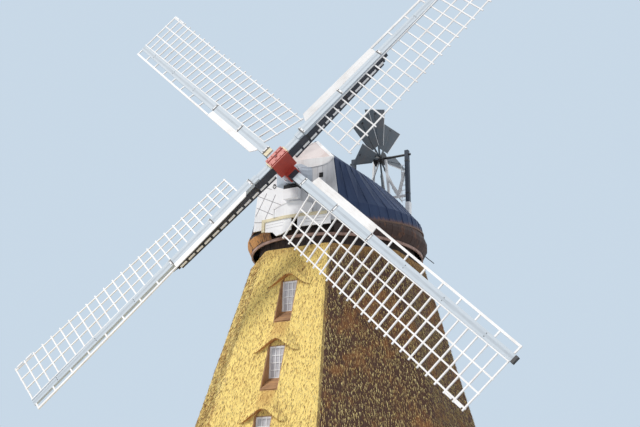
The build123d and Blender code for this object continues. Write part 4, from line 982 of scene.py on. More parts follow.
@dataclass(frozen=True)
class Tower:
    """Small parts of the tower: straw, bricks, window bars, sill boards and door planks."""

    sides: str = "front front_right right rear_right rear rear_left left front_left"
    ground_radius: float = 6.434
    batter: float = 0.298171
    flat: float = math.cos(math.radians(22.5))
    straw_density: float = 420.0
    straw_length: float = 0.11
    straw_width: float = 0.007
    straw_lift: float = 0.10
    straw_stray: float = 0.24
    straw_seed: int = 11
    base_top: float = 0.9
    base_inset: float = 0.09
    courses: int = 12
    bricks_per_side: int = 18
    mortar: float = 0.012
    brick_t: float = 0.018
    window_heads: tuple[float, ...] = (5.8, 8.0, 10.2)
    window_h: float = 1.0
    recess: float = 0.06
    glass_half: float = 0.2247
    glass_gap: float = 0.0553
    bar_w: float = 0.026
    bar_ts: Span = (0.018, 0.016)
    bar_depths: Span = (0.017, 0.018)
    sill_drop: float = 0.38
    sill_w: float = 0.545
    sill_boards: int = 4
    sill_lap: float = 0.012
    sill_board_t: float = 0.020
    sill_lift: float = 0.014
    sill_lean: float = 0.10
    door_half: float = 0.75
    frame_w: float = 0.13
    door_foot: float = 0.12
    door_top: float = 2.42
    door_set_in: float = 0.38
    planks_per_leaf: int = 5
    door_rim: float = 0.02
    plank_gap: float = 0.010
    plank_t: float = 0.017
    plank_depth: float = 0.009
    hinge_x: float = 0.49
    hinge_zs: Span = (0.45, 2.05)
    hinge_depth: float = 0.021
    hinge: Place = (0.50, 0.05, 0.008)
    lock_spot: Span = (0.10, 1.15)
    lock_depth: float = 0.024
    lock: Place = (0.05, 0.16, 0.014)
    curb_facets: int = 32
    curb_radius: float = 2.68
    curb_z: float = 11.725
    curb_board_h: float = 0.596
    curb_board_t: float = 0.016
    curb_gap: float = 0.012
    curb_lift: float = 0.004

    def wall(self, z: float) -> float:
        """Distance from the axis to the thatch's flat at a height."""
        return (self.ground_radius - self.batter * z) * self.flat

    def base(self) -> float:
        """Distance from the axis to the masonry's face."""
        return self.wall(self.base_top) - self.base_inset

    def build(self) -> None:
        """Make every small part of the tower."""
        self.straw()
        self.bricks()
        self.windows()
        self.doors()
        self.curb_boards()

    def straw(self) -> None:
        """Slivers of straw over each side of the thatch."""
        recipe = straw_recipe()
        for number, side in enumerate(self.sides.split()):
            source = bpy.data.objects["thatch_" + side]
            host = source.data.copy()
            host.transform(source.matrix_world)
            values = {
                "Density": self.straw_density,
                "Length": self.straw_length,
                "Width": self.straw_width,
                "Lift": self.straw_lift,
                "Stray": self.straw_stray,
                "Seed": self.straw_seed + number,
            }
            recipe.make("straw_" + side, "tower", STRAW, host, values)

    def bricks(self) -> None:
        """Courses of bricks on the masonry under the thatch, apart from the doorways."""
        row = Row("bricks", "tower", BRICK, jitter=0.35)
        for number in range(8):
            turn = Matrix.Rotation(math.radians(45 * number), 3, "Z")
            for level in range(self.courses):
                self.course(row, turn, level, number in (0, 4))
        row.build()

    def course(self, row: Row, turn: Matrix, level: int, doorway: bool) -> None:
        """Lay one course on one side; every second course starts with a half brick.

        Args:
            row: the bricks.
            turn: turn of the side from the front.
            level: number of the course from the ground.
            doorway: whether bricks stay clear of a door and its frame.
        """
        face = self.base()
        count = self.bricks_per_side
        pitch = 2 * face * math.tan(math.radians(22.5)) / count
        height = self.base_top / self.courses
        half = level % 2
        for i in range(count + half):
            x = (i + 0.5 - half / 2 - count / 2) * pitch
            length = pitch - self.mortar
            if half and i in (0, count):
                x += pitch / 4 if i == 0 else -pitch / 4
                length = pitch / 2 - self.mortar
            if doorway and abs(x) < self.door_half + self.frame_w + length / 2:
                continue
            size = (length, height - self.mortar, self.brick_t)
            row.upright((x, -face, (level + 0.5) * height), size, turn)

    def windows(self) -> None:
        """Bars in each window and boards down its sill."""
        bars = Row("window_bars", "tower", WHITE)
        sills = Row("sill_boards", "tower", SILL_BOARDS, jitter=0.15)
        for turn in HALF_TURNS:
            for head in self.window_heads:
                front = -self.wall(head) + self.recess
                self.window_bars(bars, turn, head, front)
                self.boards_on_sill(sills, turn, head - self.window_h, front)
        bars.build()
        sills.build()

    def window_bars(self, row: Row, turn: Matrix, head: float, front: float) -> None:
        """Place two upright and three level bars in front of one pane.

        Args:
            row: the bars.
            turn: turn of the window from the front.
            head: height of the window's head.
            front: place of the sash's front.
        """
        low = head - self.window_h + self.glass_gap
        high = head - self.glass_gap
        for k in (-1, 1):
            place = (k * self.glass_half / 3, front + self.bar_depths[0], (low + high) / 2)
            row.upright(place, (self.bar_w, high - low, self.bar_ts[0]), turn)
        for k in range(1, 4):
            place = (0, front + self.bar_depths[1], low + (high - low) * k / 4)
            row.upright(place, (2 * self.glass_half, self.bar_w, self.bar_ts[1]), turn)

    def boards_on_sill(self, row: Row, turn: Matrix, foot: float, front: float) -> None:
        """Place lapped boards down the slope under one sash.

        Args:
            row: the boards.
            turn: turn of the window from the front.
            foot: height of the sash's foot.
            front: place of the sash's front.
        """
        run = self.wall(foot - self.sill_drop) + front
        slope = Vector((0, -run, -self.sill_drop))
        length = slope.length
        way = turn @ slope.normalized()
        out = turn @ Vector((0, -self.sill_drop, run)).normalized()
        top = turn @ Vector((0, front, foot))
        size = (self.sill_w, length / self.sill_boards + self.sill_lap, self.sill_board_t)
        for k in range(self.sill_boards):
            spot = top + way * (length * (k + 0.5) / self.sill_boards) + out * self.sill_lift
            row.add(spot, (out + way * self.sill_lean).normalized(), turn @ ACROSS, size)

    def doors(self) -> None:
        """Planks, strap hinges and a lock plate on the door leaves."""
        planks = Row("door_planks", "tower", DOOR_PAINT, jitter=0.1)
        irons = Row("door_irons", "tower", DARK_IRON)
        front = -self.base() + self.door_set_in
        width = self.door_half / self.planks_per_leaf
        middle = (self.door_foot + self.door_top) / 2
        plank = (width - self.plank_gap, self.door_top - self.door_foot - self.door_rim, self.plank_t)
        for turn in HALF_TURNS:
            for side in (-1, 1):
                for k in range(self.planks_per_leaf):
                    planks.upright((side * (k + 0.5) * width, front - self.plank_depth, middle), plank, turn)
                for z in self.hinge_zs:
                    irons.upright((side * self.hinge_x, front - self.hinge_depth, z), self.hinge, turn)
            x, z = self.lock_spot
            irons.upright((x, front - self.lock_depth, z), self.lock, turn)
        planks.build()
        irons.build()

    def curb_boards(self) -> None:
        """Upright boards round the band between the thatch and the cap, two on each facet."""
        row = Row("curb_boards", "tower", DARK_TIMBER, jitter=0.5)
        reach = math.pi / self.curb_facets
        face = self.curb_radius * math.cos(reach)
        half = self.curb_radius * math.sin(reach)
        size = (half - self.curb_gap, self.curb_board_h, self.curb_board_t)
        for number in range(self.curb_facets):
            turn = Matrix.Rotation(2 * reach * (number + 0.5), 3, "Z")
            for k in (-1, 1):
                spot = turn @ Vector((face + self.curb_lift, k * half / 2, self.curb_z))
                row.add(spot, turn @ ACROSS, turn @ -FRONT, size)
        row.build()


@dataclass(frozen=True)
class Roof:
    """Form of the cap's roof, and the seams that follow it.

    A plan is four numbers: half its width in the middle, at the front corners and at the
    rear corners, and the place of its rear. A form is a bar's width, height and sunk depth.
    """

    front_y: float = -2.87
    bend_ys: Span = (-1.70, 2.15)
    eave: Plan = (3.10, 1.61, 1.64, 2.95)
    knuckle: Plan = (2.93, 1.56, 1.60, 2.975)
    shoulder: Plan = (1.58, 1.35, 1.34, 3.18)
    levels: Plan = (12.03, 12.82, 14.27, 15.50)
    ridge_half: float = 0.04
    ridge_ys: Span = (-1.75, 1.25)
    ridge_fall: float = 0.30
    eave_z: float = 12.42
    eave_slope: float = 0.10
    thin_lines: int = 20
    inset: float = 0.004
    beside: float = 0.02
    thin_line_form: Place = (0.014, 0.006, 0.015)
    strip_lift: float = 0.03
    strip_form: Place = (0.055, 0.016, 0.03)
    hip_facing: Place = (0, -1.23, 1.12)
    hip_foot: Place = (1.30, -2.85, 14.29)
    hip_top: Place = (0.07, -1.77, 15.48)
    border_form: Place = (0.10, 0.022, 0.03)
    foot_place: Place = (1.30, -2.825, 14.32)
    foot_form: Place = (0.09, 0.020, 0.03)

    def flared(self, y: float, plan: Plan) -> float:
        """Half width of a round plan that runs straight to its corners.

        Args:
            y: place from front to rear.
            plan: the plan's four numbers.

        Returns:
            The half width there.
        """
        radius, front_x, rear_x, rear_y = plan
        if y < self.bend_ys[0]:
            corner, bend = (front_x, self.front_y), self.bend_ys[0]
        elif y > self.bend_ys[1]:
            corner, bend = (rear_x, rear_y), self.bend_ys[1]
        else:
            return math.sqrt(radius * radius - y * y)
        bend_x = math.sqrt(radius * radius - bend * bend)
        return bend_x + (corner[0] - bend_x) * (y - bend) / (corner[1] - bend)

    def bowed(self, y: float) -> float:
        """Half width at the shoulder."""
        middle, front_x, rear_x, rear_y = self.shoulder
        corner_x, corner_y = (front_x, self.front_y) if y < 0 else (rear_x, rear_y)
        return middle - (middle - corner_x) * (y / corner_y) ** 2

    def line(self, share: float, side: int) -> list[Vector]:
        """Points down the roof from the ridge to the eave.

        Args:
            share: place along the roof, 0 in front and 1 behind.
            side: 1 on the right, -1 on the left.

        Returns:
            Points on the ridge, shoulder, knuckle and eave.
        """
        plans = (self.eave, self.knuckle, self.shoulder)
        low_y, knee_y, shoulder_y = (self.front_y + (plan[3] - self.front_y) * share for plan in plans)
        ridge_y = self.ridge_ys[0] + (self.ridge_ys[1] - self.ridge_ys[0]) * share
        foot_z, knee_z, shoulder_z, ridge_z = self.levels
        low = Vector((self.flared(low_y, self.eave), low_y, foot_z))
        knee = Vector((self.flared(knee_y, self.knuckle), knee_y, knee_z))
        rise = knee.z - low.z - self.eave_slope * (knee.y - low.y)
        cut = (self.eave_z + self.eave_slope * low.y - low.z) / rise
        points = [
            Vector((self.ridge_half, ridge_y, ridge_z - self.ridge_fall * share)),
            Vector((self.bowed(shoulder_y), shoulder_y, shoulder_z)),
            knee,
            low.lerp(knee, cut),
        ]
        return [Vector((side * point.x, point.y, point.z)) for point in points]

    def build(self) -> None:
        """Make the standing seams, the eave's strip and the border of the front half hip."""
        thin_lines = Batch("roof_seams", "cap", ROOF_SHEET)
        strip = Batch("eave_strip", "cap", ROOF_EDGE)
        lift = UP * self.strip_lift
        for side in (-1, 1):
            for k in range(self.thin_lines + 1):
                self.thin_line(thin_lines, k / self.thin_lines, side)
            feet = [self.line(k / self.thin_lines, side)[3] for k in range(self.thin_lines + 1)]
            for foot, after in zip(feet, feet[1:]):
                out = Vector((foot.x + after.x, foot.y + after.y, 0)).normalized()
                strip.bar(foot + lift, after + lift, out, self.strip_form)
        thin_lines.build()
        strip.build()
        self.hip_border()

    def thin_line(self, batch: Batch, share: float, side: int) -> None:
        """Lay one standing seam from the ridge to the eave.

        Args:
            batch: the seams.
            share: its place along the roof, 0 in front and 1 behind.
            side: 1 on the right, -1 on the left.
        """
        share = min(max(share, self.inset), 1 - self.inset)
        line = self.line(share, side)
        beside = self.line(share + (self.beside if share < 0.5 else -self.beside), side)
        roughly_out = Vector((side, 0, 0.2))
        for top, foot, aside in zip(line, line[1:], beside[1:]):
            face = (foot - top).cross(aside - foot).normalized()
            if face.dot(roughly_out) < 0:
                face = -face
            batch.bar(top, foot, face, self.thin_line_form)

    def hip_border(self) -> None:
        """Flat border round the front half hip."""
        border = Batch("hip_border", "cap", WHITE)
        face = Vector(self.hip_facing).normalized()
        for side in (-1, 1):
            low, top = (Vector((side * x, y, z)) for x, y, z in (self.hip_foot, self.hip_top))
            border.bar(low, top, face, self.border_form)
        x, y, z = self.foot_place
        border.bar(Vector((-x, y, z)), Vector((x, y, z)), face, self.foot_form)
        border.build()


@dataclass(frozen=True)
class Breast:
    """Small parts on the front of the cap: boards, painted shadow lines of the lattice, joints, hatch slot,
    rods and rims.
    """

    flat_x: float = 0.30
    flat_y: float = -3.10
    edge_x: float = 1.61
    edge_y: float = -2.92
    top_z: float = 14.20
    foot_z: float = 12.42
    shoulder: Span = (1.35, 14.27)
    knuckle: Span = (1.56, 12.82)
    boards: int = 7
    first_board: float = 0.36
    board_w: float = 0.165
    board_gap: float = 0.014
    board_faces: Span = (-0.002, 0.012)
    moulding_end: float = 1.21
    outer_foot_z: float = 12.11
    # Ends of the painted shadow lines that the sails' lattice casts on the left of the breast.
    lattice_shadow_ends: tuple[tuple[Span, Span], ...] = (
        ((-1.50, 12.92), (-0.80, 12.55)),
        ((-1.47, 13.33), (-0.36, 12.78)),
        ((-1.44, 13.72), (-0.90, 13.46)),
        ((-1.10, 13.36), (-1.53, 12.62)),
        ((-0.72, 13.24), (-1.12, 12.46)),
        ((-1.57, 12.42), (-1.24, 12.36)),
        ((-1.30, 14.10), (-1.42, 13.60)),
    )
    thin_line_form: Place = (0.018, 0.007, 0.002)
    arch_half: float = 0.72
    arch_rise: float = 0.17
    arch_spring: float = 12.71
    arch_lift: float = 0.04
    arch_steps: int = 12
    rim_inset: Span = (0.965, 0.022)
    rim_form: Place = (0.032, 0.012, 0.002)
    joint_zs: Span = (12.20, 12.10)
    joint_ends: tuple[Span, Span] = ((-1.05, -0.31), (0.31, 1.18))
    joint_form: Place = (0.008, 0.002, 0.001)
    slot: tuple[Place, Place] = ((-0.268, -3.292, 13.272), (0.268, -3.101, 13.405))
    rod: tuple[Place, Place] = ((-0.315, -3.290, 13.665), (0.0, -3.272, 13.355))
    rod_radius: float = 0.017
    # Second brake rod, red like the first, made dark iron as painted shade.
    shaded_rod: tuple[Place, Place] = ((-0.16, -3.297, 13.465), (0.22, -3.270, 13.30))
    shaded_rod_radius: float = 0.020
    opening: tuple[Span, Span] = ((0.88, 13.59), (1.04, 13.75))
    opening_t: float = 0.020
    ring: Span = (-0.77, 13.53)
    ring_radius: float = 0.060
    ring_t: float = 0.010
    ring_lift: float = 0.016
    staple: tuple[Span, Span] = ((-0.80, 13.58), (-0.74, 13.61))
    staple_t: float = 0.03
    seat: float = 0.001

    def face_y(self, x: float) -> float:
        """Place of the breast's face at a distance from the middle."""
        share = max(abs(x) - self.flat_x, 0) / (self.edge_x - self.flat_x)
        return self.flat_y + (self.edge_y - self.flat_y) * share

    def spot(self, x: float, z: float) -> Vector:
        """Point on the breast's face."""
        return Vector((x, self.face_y(x), z))

    def top(self, x: float) -> float:
        """Height of the boards' top at a distance from the middle, cut by the roof's side."""
        (high_x, high_z), (low_x, low_z) = self.shoulder, self.knuckle
        edge = low_z + (low_x - x) / (low_x - high_x) * (high_z - low_z)
        return self.top_z if x <= high_x else min(edge, self.top_z)

    def out(self, side: int) -> Vector:
        """Outward direction of one canted side."""
        return Vector((side * (self.edge_y - self.flat_y), self.flat_x - self.edge_x, 0)).normalized()

    def build(self) -> None:
        """Make every small part of the breast."""
        self.upright_boards()
        self.thin_lines()
        self.arch_rim()
        self.joints()
        self.hatch()
        self.fittings()

    def upright_boards(self) -> None:
        """Upright boards on the right, the outer ones down past the moulding's end, greyed as painted shade.
        """
        batch = Batch("breast_boards", "cap", SHADED_WHITE_BOARDS)
        for k in range(self.boards):
            x0 = self.first_board + k * self.board_w
            x1 = x0 + self.board_w - self.board_gap
            low = self.foot_z if x1 < self.moulding_end else self.outer_foot_z
            corners = ((x0, low), (x1, low), (x1, self.top(x1)), (x0, self.top(x0)))
            plan = [self.spot(x, z) for x, z in corners]
            batch.solid([[corner + self.out(1) * lift for corner in plan] for lift in self.board_faces])
        batch.build()

    def thin_lines(self) -> None:
        """Thin crossing grey lines on the left of the breast: painted shadow of the sails' lattice."""
        batch = Batch("lattice_shadow_lines", "cap", JOINT_AND_SHADOW_LINE)
        for start, end in self.lattice_shadow_ends:
            batch.bar(self.spot(*start), self.spot(*end), self.out(-1), self.thin_line_form)
        batch.build()

    def arch_rim(self) -> None:
        """Raised rim of the arched board."""
        rim = Batch("board_rims", "cap", WHITE)
        y = self.flat_y - self.arch_lift
        radius = (self.arch_half ** 2 + self.arch_rise ** 2) / (2 * self.arch_rise)
        reach = math.atan2(self.arch_half, radius - self.arch_rise)
        points = [(self.arch_half, self.foot_z)]
        for k in range(self.arch_steps + 1):
            turn = reach * (1 - 2 * k / self.arch_steps)
            height = self.arch_spring + self.arch_rise - radius * (1 - math.cos(turn))
            points.append((radius * math.sin(turn), height))
        points.append((-self.arch_half, self.foot_z))
        share, drop = self.rim_inset
        inset = [Vector((x * share, y, z - drop)) for x, z in points]
        for start, end in zip(inset, inset[1:]):
            rim.bar(start, end, FRONT, self.rim_form)
        rim.build()

    def joints(self) -> None:
        """Level joints of the boards under the moulding."""
        joints = Batch("board_joints", "cap", JOINT_AND_SHADOW_LINE)
        for side, ends in zip((-1, 1), self.joint_ends):
            out = self.out(side)
            for z in self.joint_zs:
                start, end = (self.spot(x, z) + out * self.arch_lift for x in ends)
                joints.bar(start, end, out, self.joint_form)
        joints.build()

    def hatch(self) -> None:
        """Black block of painted shade for the slot over the hatch box, and the two brake rods that go into
        it, the second made dark as painted shade.
        """
        slot = Batch("hatch_slot", "cap", HOLE_SHADE_AND_IRON)
        slot.block(*self.slot)
        slot.build()
        rod = Batch("brake_rods", "cap", RED_IRON)
        rod.rod(*map(Vector, self.rod), self.rod_radius)
        rod.build()
        # Painted shade: the second brake rod is made dark iron instead of red, for the shade it lies in.
        shaded_rod = Batch("shaded_brake_rod", "cap", DARK_IRON)
        shaded_rod.rod(*map(Vector, self.shaded_rod), self.shaded_rod_radius)
        shaded_rod.build()

    def fittings(self) -> None:
        """Small square opening on the right, a black block of painted shade, and an iron ring with its staple
        on the left.
        """
        irons = Batch("breast_irons", "cap", HOLE_SHADE_AND_IRON)
        (x0, z0), (x1, z1) = self.opening
        y = self.face_y((x0 + x1) / 2)
        irons.block((x0, y - self.opening_t, z0), (x1, y - self.seat, z1))
        x, z = self.ring
        y = self.face_y(x)
        irons.loop(Vector((x, y - self.ring_lift, z)), -FRONT, self.ring_radius, self.ring_t)
        (x0, z0), (x1, z1) = self.staple
        irons.block((x0, y - self.staple_t, z0), (x1, y, z1))
        irons.build()


@dataclass(frozen=True)
class Skirt:
    """Bulging boards under the eave, over the plain form of the skirt, two on each facet."""

    profile: tuple[Span, ...] = ((12.60, 2.90), (12.40, 3.01), (12.18, 3.10), (12.04, 3.10), (11.78, 2.975))
    facets: int = 40
    breast_gap: Span = (-0.92, 1.47)
    eave_z: float = 12.42
    eave_slope: float = 0.10
    top_z: float = 12.598
    foot_z: float = 11.782
    top_gap: float = 0.004
    joint_half: float = 0.004
    sunk: float = 0.002
    board_t: float = 0.014
    uneven_t: float = 0.006
    uneven_foot: float = 0.03
    worn_y: float = -2.2
    worn_top: float = 12.09
    uneven_top: float = 0.05
    middle: Span = (3.0, 0.23)
    scatter: Place = (12.9898, 78.233, 43758.5453)
    pin: tuple[Place, Place] = ((2.66, 1.43, 11.95), (2.96, 1.59, 11.68))
    pin_radius: float = 0.014

    def radius(self, z: float) -> float:
        """Corner radius of the skirt at a height."""
        for (high, upper), (low, lower) in zip(self.profile, self.profile[1:]):
            if low <= z <= high:
                return lower + (upper - lower) * (z - low) / (high - low)
        return self.profile[-1][1]

    def build(self) -> None:
        """Make the boards, with ragged tops at the front left, and the thin pin on the right."""
        boards = Batch("skirt_boards", "cap", SKIRT_BOARDS)
        for number in range(self.facets):
            for k in (0, 1):
                self.board(boards, number, k)
        boards.build()
        pin = Batch("skirt_pin", "cap", DARK_IRON)
        pin.rod(*map(Vector, self.pin), self.pin_radius)
        pin.build()

    def board(self, batch: Batch, number: int, k: int) -> None:
        """Add one board, unless it stands in front of the breast.

        Args:
            batch: the boards.
            number: number of its facet.
            k: 0 for the facet's first half, 1 for its second.
        """
        half = math.pi / self.facets
        turn = Matrix.Rotation((number + 0.5) * 2 * half, 3, "Z")
        middle = turn @ Vector((self.middle[0], (k - 0.5) * self.middle[1], 0))
        if middle.y < 0 and self.breast_gap[0] < middle.x < self.breast_gap[1]:
            return
        first, second, spread = self.scatter
        chance = math.sin(number * first + k * second) * spread % 1
        top = min(self.top_z, self.eave_z + self.eave_slope * middle.y - self.top_gap)
        if middle.x < 0 and middle.y < self.worn_y:
            top = self.worn_top - self.uneven_top * chance
        foot = self.foot_z + self.uneven_foot * chance
        lift = self.board_t + self.uneven_t * chance
        rings = []
        for z in (top, *(z for z, _ in self.profile if foot < z < top), foot):
            face = self.radius(z) * math.cos(half)
            edge = self.radius(z) * math.sin(half) - self.joint_half
            near, far = (-edge, -self.joint_half) if k == 0 else (self.joint_half, edge)
            low, high = face - self.sunk, face + lift
            plan = ((low, near), (low, far), (high, far), (high, near))
            rings.append([turn @ Vector((x, y, z)) for x, y in plan])
        batch.solid(rings)


@dataclass(frozen=True)
class Sails:
    """Small parts of the sails and the poll end.

    Each taper is a size at its start, and what it changes by to its end.
    """

    hub: Vector = Vector((0, -4.206, 14.012))
    tilt: float = math.radians(14)
    phase: float = 47.2
    arms: int = 4
    offset: float = 0.54
    radius: float = 10.8
    whip_root: float = 1.15
    whip_run: float = 9.692
    whip_halves: Span = (0.165, -0.055)
    whip_fronts: Span = (0.065, -0.05)
    stock_run: float = 4.9
    stock_halves: Span = (0.165, -0.065)
    stock_backs: Span = (-0.3553, 0.12)
    lattice_root: float = 1.655
    lattice_run: float = 9.145
    leans: Span = (18.0, -17.4)
    rung_pitch: float = 0.381
    steps: int = 8
    lath_rs: Span = (1.63, 10.83)
    lath_gap: float = 0.024
    lath_half: float = 0.018
    lath_t: float = 0.024
    rung_front: float = 0.021
    seat: float = 0.001
    cleat_rs: Span = (10.6, 10.22)
    cleat: tuple[Place, Place] = ((-0.13, -1.80, 0.022), (0.13, -1.745, 0.050))
    board_rs: tuple[float, float, float] = (1.48, 1.60, 4.70)
    board_gap: float = 0.004
    board_tip: float = 0.05
    board_zs: Span = (-0.010, 0.016)
    lead_w: float = 0.27
    rail_w: float = 0.070
    rail_zs: Span = (-0.020, 0.026)
    posts: range = range(10, 25, 2)
    post_half: float = 0.024
    post_gap: float = 0.003
    post_zs: Span = (-0.018, 0.020)
    hem: float = 0.03
    cheek: tuple[Place, Place] = ((0.40, -0.135, -0.0645), (1.146, 0.135, -0.030))
    band_rs: tuple[float, ...] = (1.19, 2.95, 4.75)
    band_half: float = 0.026
    band_inset: float = 0.002
    band_front: float = 0.014
    # Dark strip beside each strap: painted shadow of the strap.
    dark_piece_end: float = 0.062
    shadow_strip_front: float = 0.006
    strap_half: float = 0.03
    strap_t: float = 0.010
    joint: float = 0.0005
    whip_back: float = -0.068
    bolt_y: float = 0.10
    bolt_lift: float = 0.018
    bolt: Span = (0.034, 0.018)
    pin_rs: tuple[float, ...] = (6.4, 8.1, 9.8)
    pin_y: float = 0.05
    pin_lift: float = 0.004
    pin: Span = (0.026, 0.012)
    tip_plate: tuple[Place, Place] = ((10.845, -0.112, -0.066), (10.94, 0.112, 0.030))
    batten_rs: Span = (0.46, 4.62)
    batten_ys: Span = (-0.005, 0.045)
    batten_zs: Span = (-0.15, -0.075)
    blocks: int = 12
    first_block: float = 0.63
    block_pitch: float = 0.352
    block_half: float = 0.135
    block_ys: Span = (-0.012, 0.03)
    block_front: float = 0.004
    spacer_end: float = 0.216
    spacer_ys: Span = (-0.004, 0.03)
    wedge: tuple[Place, Place] = ((0.348, -0.150, -0.0645), (0.392, 0.150, 0.022))
    rear_wedge: tuple[Place, Place] = ((0.950, -0.156, 0.0255), (1.148, 0.156, 0.060))
    poll_bolt_xs: tuple[float, ...] = (-0.29, -0.10, 0.10, 0.29)
    poll_bolt_ys: Span = (0.15, -0.10)
    poll_bolt_z: float = 0.060
    poll_bolt: Span = (0.045, 0.022)
    eye_y: float = 0.060
    eye_zs: tuple[float, float, float] = (0.0255, 0.034, 0.036)
    eye_radius: float = 0.032
    eye_rim: Span = (0.048, 0.012)

    def frame(self, number: int) -> Matrix:
        """Frame of one arm: x out along it, y the way it turns, z to the front."""
        turn = math.radians(self.phase + 360 / self.arms * number)
        ahead = Vector((0, -math.cos(self.tilt), math.sin(self.tilt)))
        arm = Vector((
            math.cos(turn),
            math.sin(turn) * math.sin(self.tilt),
            math.sin(turn) * math.cos(self.tilt),
        ))
        frame = Matrix((arm, ahead.cross(arm), ahead)).transposed().to_4x4()
        frame.translation = self.hub - ahead * (self.offset * (number % 2))
        return frame

    def frames(self) -> list[Matrix]:
        """Frames of all arms."""
        return [self.frame(number) for number in range(self.arms)]

    def along(self, span: Span) -> list[float]:
        """Radii in even steps from one end of a long part to the other."""
        return [span[0] + (span[1] - span[0]) * k / self.steps for k in range(self.steps + 1)]

    def whip(self, taper: Span, r: float) -> float:
        """Size of the whip at a radius."""
        return taper[0] + taper[1] * (r - self.whip_root) / self.whip_run

    def stock(self, taper: Span, r: float) -> float:
        """Size of the stock at a radius."""
        return taper[0] + taper[1] * abs(r) / self.stock_run

    def lean(self, r: float) -> float:
        """Angle of the twisted lattice at a radius."""
        return math.radians(self.leans[0] + self.leans[1] * (r - self.lattice_root) / self.lattice_run)

    def build(self) -> None:
        """Make the small parts of all four arms and of the poll end."""
        self.laths()
        self.leading_edges()
        self.cheeks()
        self.bands()
        self.truss()
        self.poll()

    def laths(self) -> None:
        """Thin lath over the roots of the rungs, beside each whip, and cleats at the hem."""
        laths = Batch("whip_laths", "sails", WHITE)
        for frame in self.frames():
            sections = []
            for r in self.along(self.lath_rs):
                lean = self.lean(r)
                chord = self.whip(self.whip_halves, r) + self.lath_gap
                height = -chord * math.sin(lean) + self.rung_front / math.cos(lean) + self.seat
                low = (-chord - self.lath_half, height)
                high = (-chord + self.lath_half, height + self.lath_t)
                sections.append((r, rectangle(low, high)))
            laths.sweep(sections, frame)
            for r in self.cleat_rs:
                low, high = ((r + x, y, z) for x, y, z in self.cleat)
                laths.block(low, high, frame @ Matrix.Rotation(self.lean(r), 4, "X"))
        laths.build()

    def leading_form(self, r: float, across: Span, heights: Span) -> tuple[float, list[Span]]:
        """Cross-section on the leading side at a radius, in the lattice's leaning plane.

        Args:
            r: distance from the hub.
            across: inner and outer edge, measured from the whip's side.
            heights: back and front, measured from the plane.

        Returns:
            The radius, and four corners across the arm.
        """
        lean = self.lean(min(r, self.radius))
        half = self.whip(self.whip_halves, r)
        corners = []
        for chord, height in rectangle((across[0], heights[0]), (across[1], heights[1])):
            y = (half + chord) * math.cos(lean) - height * math.sin(lean)
            corners.append((y, (half + chord) * math.sin(lean) + height * math.cos(lean)))
        return r, corners

    def leading_edges(self) -> None:
        """Board on the inner part and rail with posts on the outer part of each leading side."""
        boards = Batch("leading_boards", "sails", SAIL_WHITE)
        rails = Batch("leading_bars", "sails", SAIL_WHITE)
        inner, slant, outer = self.board_rs
        near, far = self.board_gap, self.lead_w
        for frame in self.frames():
            sections = []
            for r in self.along((inner, outer)):
                cut = self.board_tip + (far - self.board_tip) * (r - inner) / (slant - inner)
                sections.append(self.leading_form(r, (near, min(cut, far)), self.board_zs))
            sections.insert(1, self.leading_form(slant, (near, far), self.board_zs))
            boards.sweep(sections, frame)
            rail = (far - self.rail_w, far)
            radii = self.along((outer + self.seat, self.radius))
            rails.sweep([self.leading_form(r, rail, self.rail_zs) for r in radii], frame)
            post = (self.post_gap, rail[0] - self.seat)
            for k in self.posts:
                r = min(self.lattice_root + self.rung_pitch * k, self.radius - self.hem)
                ends = (r - self.post_half, r + self.post_half)
                rails.sweep([self.leading_form(end, post, self.post_zs) for end in ends], frame)
        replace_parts(boards.build(), "windboards")
        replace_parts(rails.build(), "leading_rails")

    def cheeks(self) -> None:
        """Painted cheeks on the front stock between the poll end and its whips."""
        cheeks = Batch("stock_cheeks", "sails", WHIP_PAINT)
        cheeks.pair(self.cheek, self.frame(0))
        cheeks.build()

    def bands(self) -> None:
        """Straps round the whips and stocks with their bolts, and a plate at one whip's tip."""
        white = Batch("white_straps", "sails", WHITE)
        dark = Batch("iron_straps_and_shadow_strips", "sails", DARK_IRON)
        bolts = Row("strap_bolts", "sails", DARK_IRON, Shape.STUD)
        for frame in self.frames():
            for r in self.band_rs:
                self.band(white, dark, bolts, r, frame)
            for r in self.pin_rs:
                for y in (-self.pin_y, self.pin_y):
                    bolts.stud((r, y, self.whip(self.whip_fronts, r) + self.pin_lift), *self.pin, frame)
        dark.block(*self.tip_plate, self.frame(3))
        for piece in (white, dark, bolts):
            piece.build()

    def band(self, white: Batch, dark: Batch, bolts: Row, r: float, frame: Matrix) -> None:
        """Add one band: a strap over the whip with a dark strip of painted shadow beside it, an iron round
        the stock, and two bolts.

        Args:
            white: the straps.
            dark: the irons.
            bolts: the bolts.
            r: distance from the hub.
            frame: the arm's frame.
        """
        half = self.whip(self.whip_halves, r) - self.band_inset
        top = self.whip(self.whip_fronts, r)
        low = top - self.strap_t
        start, end = r - self.band_half, r + self.band_half
        white.block((start, -half, low), (end, half, top + self.band_front), frame)
        # Painted shadow: a dark strip on the whip just inside the white strap.
        front = top + self.shadow_strip_front
        dark.block((r - self.dark_piece_end, -half, low), (start - self.joint, half, front), frame)
        start, end = r - self.strap_half, r + self.strap_half
        back = self.stock(self.stock_backs, r)
        side = self.stock(self.stock_halves, r)
        edge = side + self.strap_t
        dark.block((start, -edge, back - self.strap_t), (end, edge, back), frame)
        for y in (-edge, side):
            dark.block((start, y, back), (end, y + self.strap_t, self.whip_back), frame)
        for y in (-self.bolt_y, self.bolt_y):
            bolts.stud((r, y, top + self.bolt_lift), *self.bolt, frame)

